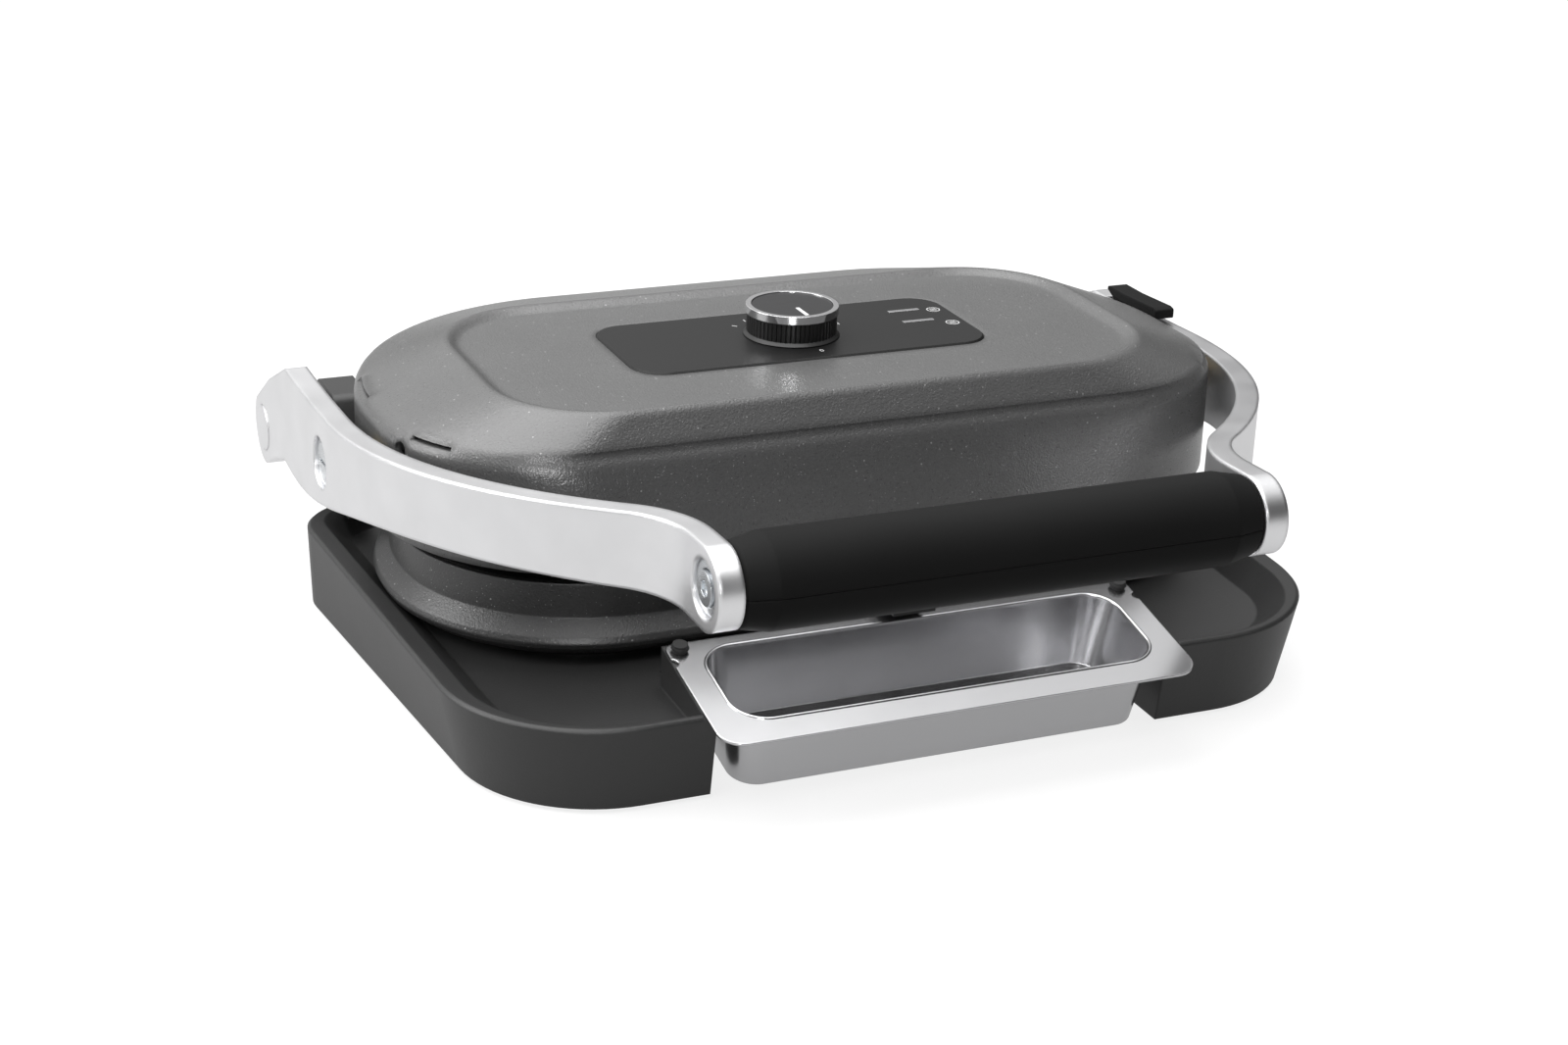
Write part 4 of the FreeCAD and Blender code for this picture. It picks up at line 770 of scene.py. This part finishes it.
@dataclass
class DripTray:
    """Pressed tray with its rubber studs and the bead round its basin."""

    bead_radius: float = 0.9 * MM
    bead_sink: float = 0.35 * MM
    weld: float = 0.01 * MM
    flat_slack: float = 0.05 * MM
    same_way: float = 0.999
    upward: float = 0.5
    bead_segments: int = 3

    def build(self) -> None:
        """Dress the nodes and add the bead."""
        dress(Finish.TRAY_ALUMINIUM, "drip_tray")
        dress(Finish.RUBBER, "tray_studs")
        self._bead()

    def _bead(self) -> None:
        """Lay a rounded bead along the edge where the flange turns down into the basin."""
        loop, normal = self._mouth()
        curve = bpy.data.curves.new("tray_bead", "CURVE")
        curve.dimensions = "3D"
        curve.bevel_depth = self.bead_radius
        curve.bevel_resolution = self.bead_segments
        line = curve.splines.new("POLY")
        line.points.add(len(loop) - 1)
        for point, corner in zip(line.points, loop):
            point.co = (*(corner - normal * self.bead_sink), 1.0)
        line.use_cyclic_u = True
        curve.materials.append(Finish.TRAY_ALUMINIUM.material())
        piece = bpy.data.objects.new("tray_bead", curve)
        bpy.context.scene.collection.objects.link(piece)
        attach(piece, "tray")
        LOG.info("made tray_bead through %d points", len(loop))

    def _mouth(self) -> tuple[list[Vector], Vector]:
        """Find the basin's mouth on the tray, walked in a fixed order so that each run gives the same bead.

        Returns:
            The corners of the mouth in order, and the flange's upward normal.
        """
        mesh = bmesh.new()
        mesh.from_mesh(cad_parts["drip_tray"].data)
        bmesh.ops.remove_doubles(mesh, verts=mesh.verts, dist=self.weld)
        mesh.normal_update()
        mesh.verts.index_update()
        mesh.faces.index_update()
        upper = (face for face in mesh.faces if face.normal.z > self.upward)
        largest = max(upper, key=lambda face: face.calc_area())
        normal = largest.normal.copy()
        level = [face for face in mesh.faces if face.normal.dot(normal) > self.same_way]
        height = max(vertex.co.dot(normal) for face in level for vertex in face.verts)
        flange = [face for face in level
                  if all(abs(vertex.co.dot(normal) - height) < self.flat_slack for vertex in face.verts)]
        rounds = self._rounds(flange)
        rounds.sort(key=lambda points: max(p.x for p in points) - min(p.x for p in points))
        mouth = max(rounds[:-1], key=len)
        mesh.free()
        return mouth, normal

    @staticmethod
    def _rounds(faces: Sequence[bmesh.types.BMFace]) -> list[list[Vector]]:
        """Closed boundary loops of a patch of faces.

        Args:
            faces: the faces, with up-to-date indices.

        Returns:
            One list of corners for each loop.
        """
        inside = {face.index for face in faces}
        places: dict[int, Vector] = {}
        links: dict[int, list[int]] = {}
        for face in faces:
            for edge in face.edges:
                if sum(other.index in inside for other in edge.link_faces) == 1:
                    first, second = edge.verts
                    for here, there in ((first, second), (second, first)):
                        places[here.index] = here.co.copy()
                        links.setdefault(here.index, []).append(there.index)
        rounds = []
        unused = dict.fromkeys(sorted(links))
        while unused:
            onward: int | None = next(iter(unused))
            way: list[int] = []
            while onward is not None:
                del unused[onward]
                way.append(onward)
                onward = next((corner for corner in links[way[-1]] if corner in unused), None)
            rounds.append([places[corner] for corner in way])
        return rounds


@dataclass
class PhotoCamera:
    """Camera at the photograph's angle."""

    place: tuple[float, float, float] = (-0.4267, -0.9334, 0.4637)
    azimuth: float = 23.75
    elevation: float = 21.85
    roll: float = 2.0
    lens: float = 60.59
    sensor: float = 36.0

    def build(self) -> None:
        """Make the camera and set it as the scene's own."""
        a, e, r = (math.radians(angle) for angle in (self.azimuth, self.elevation, self.roll))
        across = Vector((math.cos(a), -math.sin(a), 0.0))
        upward = Vector((math.sin(a) * math.sin(e), math.cos(a) * math.sin(e), math.cos(e)))
        forward = Vector((math.sin(a) * math.cos(e), math.cos(a) * math.cos(e), -math.sin(e)))
        right = across * math.cos(r) + upward * math.sin(r)
        up = upward * math.cos(r) - across * math.sin(r)
        data = bpy.data.cameras.new("photo_camera")
        data.lens = self.lens
        data.sensor_width = self.sensor
        data.sensor_fit = "HORIZONTAL"
        camera = bpy.data.objects.new("photo_camera", data)
        turn = Matrix((right, up, -forward)).transposed().to_4x4()
        camera.matrix_world = Matrix.Translation(self.place) @ turn
        bpy.context.scene.collection.objects.link(camera)
        bpy.context.scene.camera = camera
        LOG.info("camera placed")


@dataclass
class SoftBox:
    """One rectangular lamp that points at the grill."""

    name: str
    place: tuple[float, float, float]
    width: float
    height: float
    power: float
    shine_only: bool = False
    target: tuple[float, float, float] = (0.0, 0.0, 0.06)

    def build(self) -> None:
        """Make the lamp."""
        data = bpy.data.lights.new(self.name, "AREA")
        data.shape = "RECTANGLE"
        data.size = self.width
        data.size_y = self.height
        data.energy = self.power
        lamp = bpy.data.objects.new(self.name, data)
        aim = Vector(self.target) - Vector(self.place)
        lamp.matrix_world = Matrix.Translation(self.place) @ aim.to_track_quat("-Z", "Y").to_matrix().to_4x4()
        lamp.visible_diffuse = not self.shine_only
        bpy.context.scene.collection.objects.link(lamp)


@dataclass
class Studio:
    """Pale floor, a surround that is bright above and behind, and soft lamps."""

    floor_half: float = 6.0
    paper: float = 0.22
    seen_glow: float = 0.82
    mirror_glow: float = 0.44
    bright_side: tuple[float, float, float] = (-0.25, 0.30, 0.92)
    dim_light: float = 0.04
    full_light: float = 1.10
    dim_until: float = 0.20
    full_from: float = 0.75
    paper_roughness: float = 0.9
    paper_gloss: float = 0.1
    lamps: list[SoftBox] = field(default_factory=lambda: [
        SoftBox("top_box", (-0.25, 0.06, 1.35), 1.9, 1.5, 24.0),
        SoftBox("left_box", (-1.4, 0.35, 0.8), 0.8, 0.7, 11.0),
        SoftBox("front_box", (-0.48, -1.15, 0.48), 0.30, 0.22, 4.6, shine_only=True),
    ])

    def build(self) -> None:
        """Make the floor, the surround and the lamps."""
        self._floor()
        self._surround()
        for lamp in self.lamps:
            lamp.build()
        bpy.context.scene.view_settings.view_transform = "Standard"
        LOG.info("studio built")

    def _floor(self) -> None:
        """Make the plane that the grill stands on."""
        half = self.floor_half
        mesh = bpy.data.meshes.new("floor")
        corners = [(-half, -half, 0), (half, -half, 0), (half, half, 0), (-half, half, 0)]
        mesh.from_pydata(corners, [], [(0, 1, 2, 3)])
        floor = bpy.data.objects.new("floor", mesh)
        bpy.context.scene.collection.objects.link(floor)
        graph = Graph("floor_paper")
        graph.set(Base_Color=(*grey(self.paper), 1.0), Roughness=self.paper_roughness,
                  Specular_IOR_Level=self.paper_gloss)
        seen = graph.node("ShaderNodeLightPath", output="Is Camera Ray")
        mirrored = graph.node("ShaderNodeLightPath", output="Is Glossy Ray")
        strength = seen * self.seen_glow + mirrored * self.mirror_glow
        glow = graph.node("ShaderNodeEmission", inputs={"Color": (1, 1, 1, 1), "Strength": strength})
        paper = Socket(graph, graph.shader.outputs["BSDF"])
        total = graph.node("ShaderNodeAddShader", inputs={0: paper, 1: glow})
        graph.tree.links.new(total.link, graph.output.inputs["Surface"])
        mesh.materials.append(graph.material)

    def _surround(self) -> None:
        """Make the world: white for the camera, and for light a soft change from dim to bright."""
        world = bpy.data.worlds.new("surround")
        world.use_nodes = True
        tree = Tree(world.node_tree)
        aim = Vector(self.bright_side).normalized()
        facing = tree.node("ShaderNodeVectorMath", {"operation": "DOT_PRODUCT"},
                           {0: tree.direction("Generated"), 1: tuple(aim)}, "Value")
        light = tree.node("ShaderNodeMapRange", {"interpolation_type": "SMOOTHSTEP"},
                          {"Value": facing, "From Min": self.dim_until, "From Max": self.full_from,
                           "To Min": self.dim_light, "To Max": self.full_light})
        seen = tree.node("ShaderNodeLightPath", output="Is Camera Ray")
        strength = light + seen * (1.0 - light)
        glow = tree.node("ShaderNodeBackground", inputs={"Color": (1, 1, 1, 1), "Strength": strength})
        output = tree.tree.nodes.new("ShaderNodeOutputWorld")
        tree.tree.links.new(glow.link, output.inputs["Surface"])
        bpy.context.scene.world = world


def main() -> None:
    """Build the scene."""
    logging.basicConfig(level=logging.INFO, format="%(name)s: %(message)s")
    parts = (PhotoCamera(), Studio(), BaseTub(), CookingParts(), Lid(), ControlDeck(), CarryingArms(),
             DripTray())
    for part in parts:
        LOG.info("building %s", type(part).__name__)
        part.build()


if __name__ == "__main__":
    main()
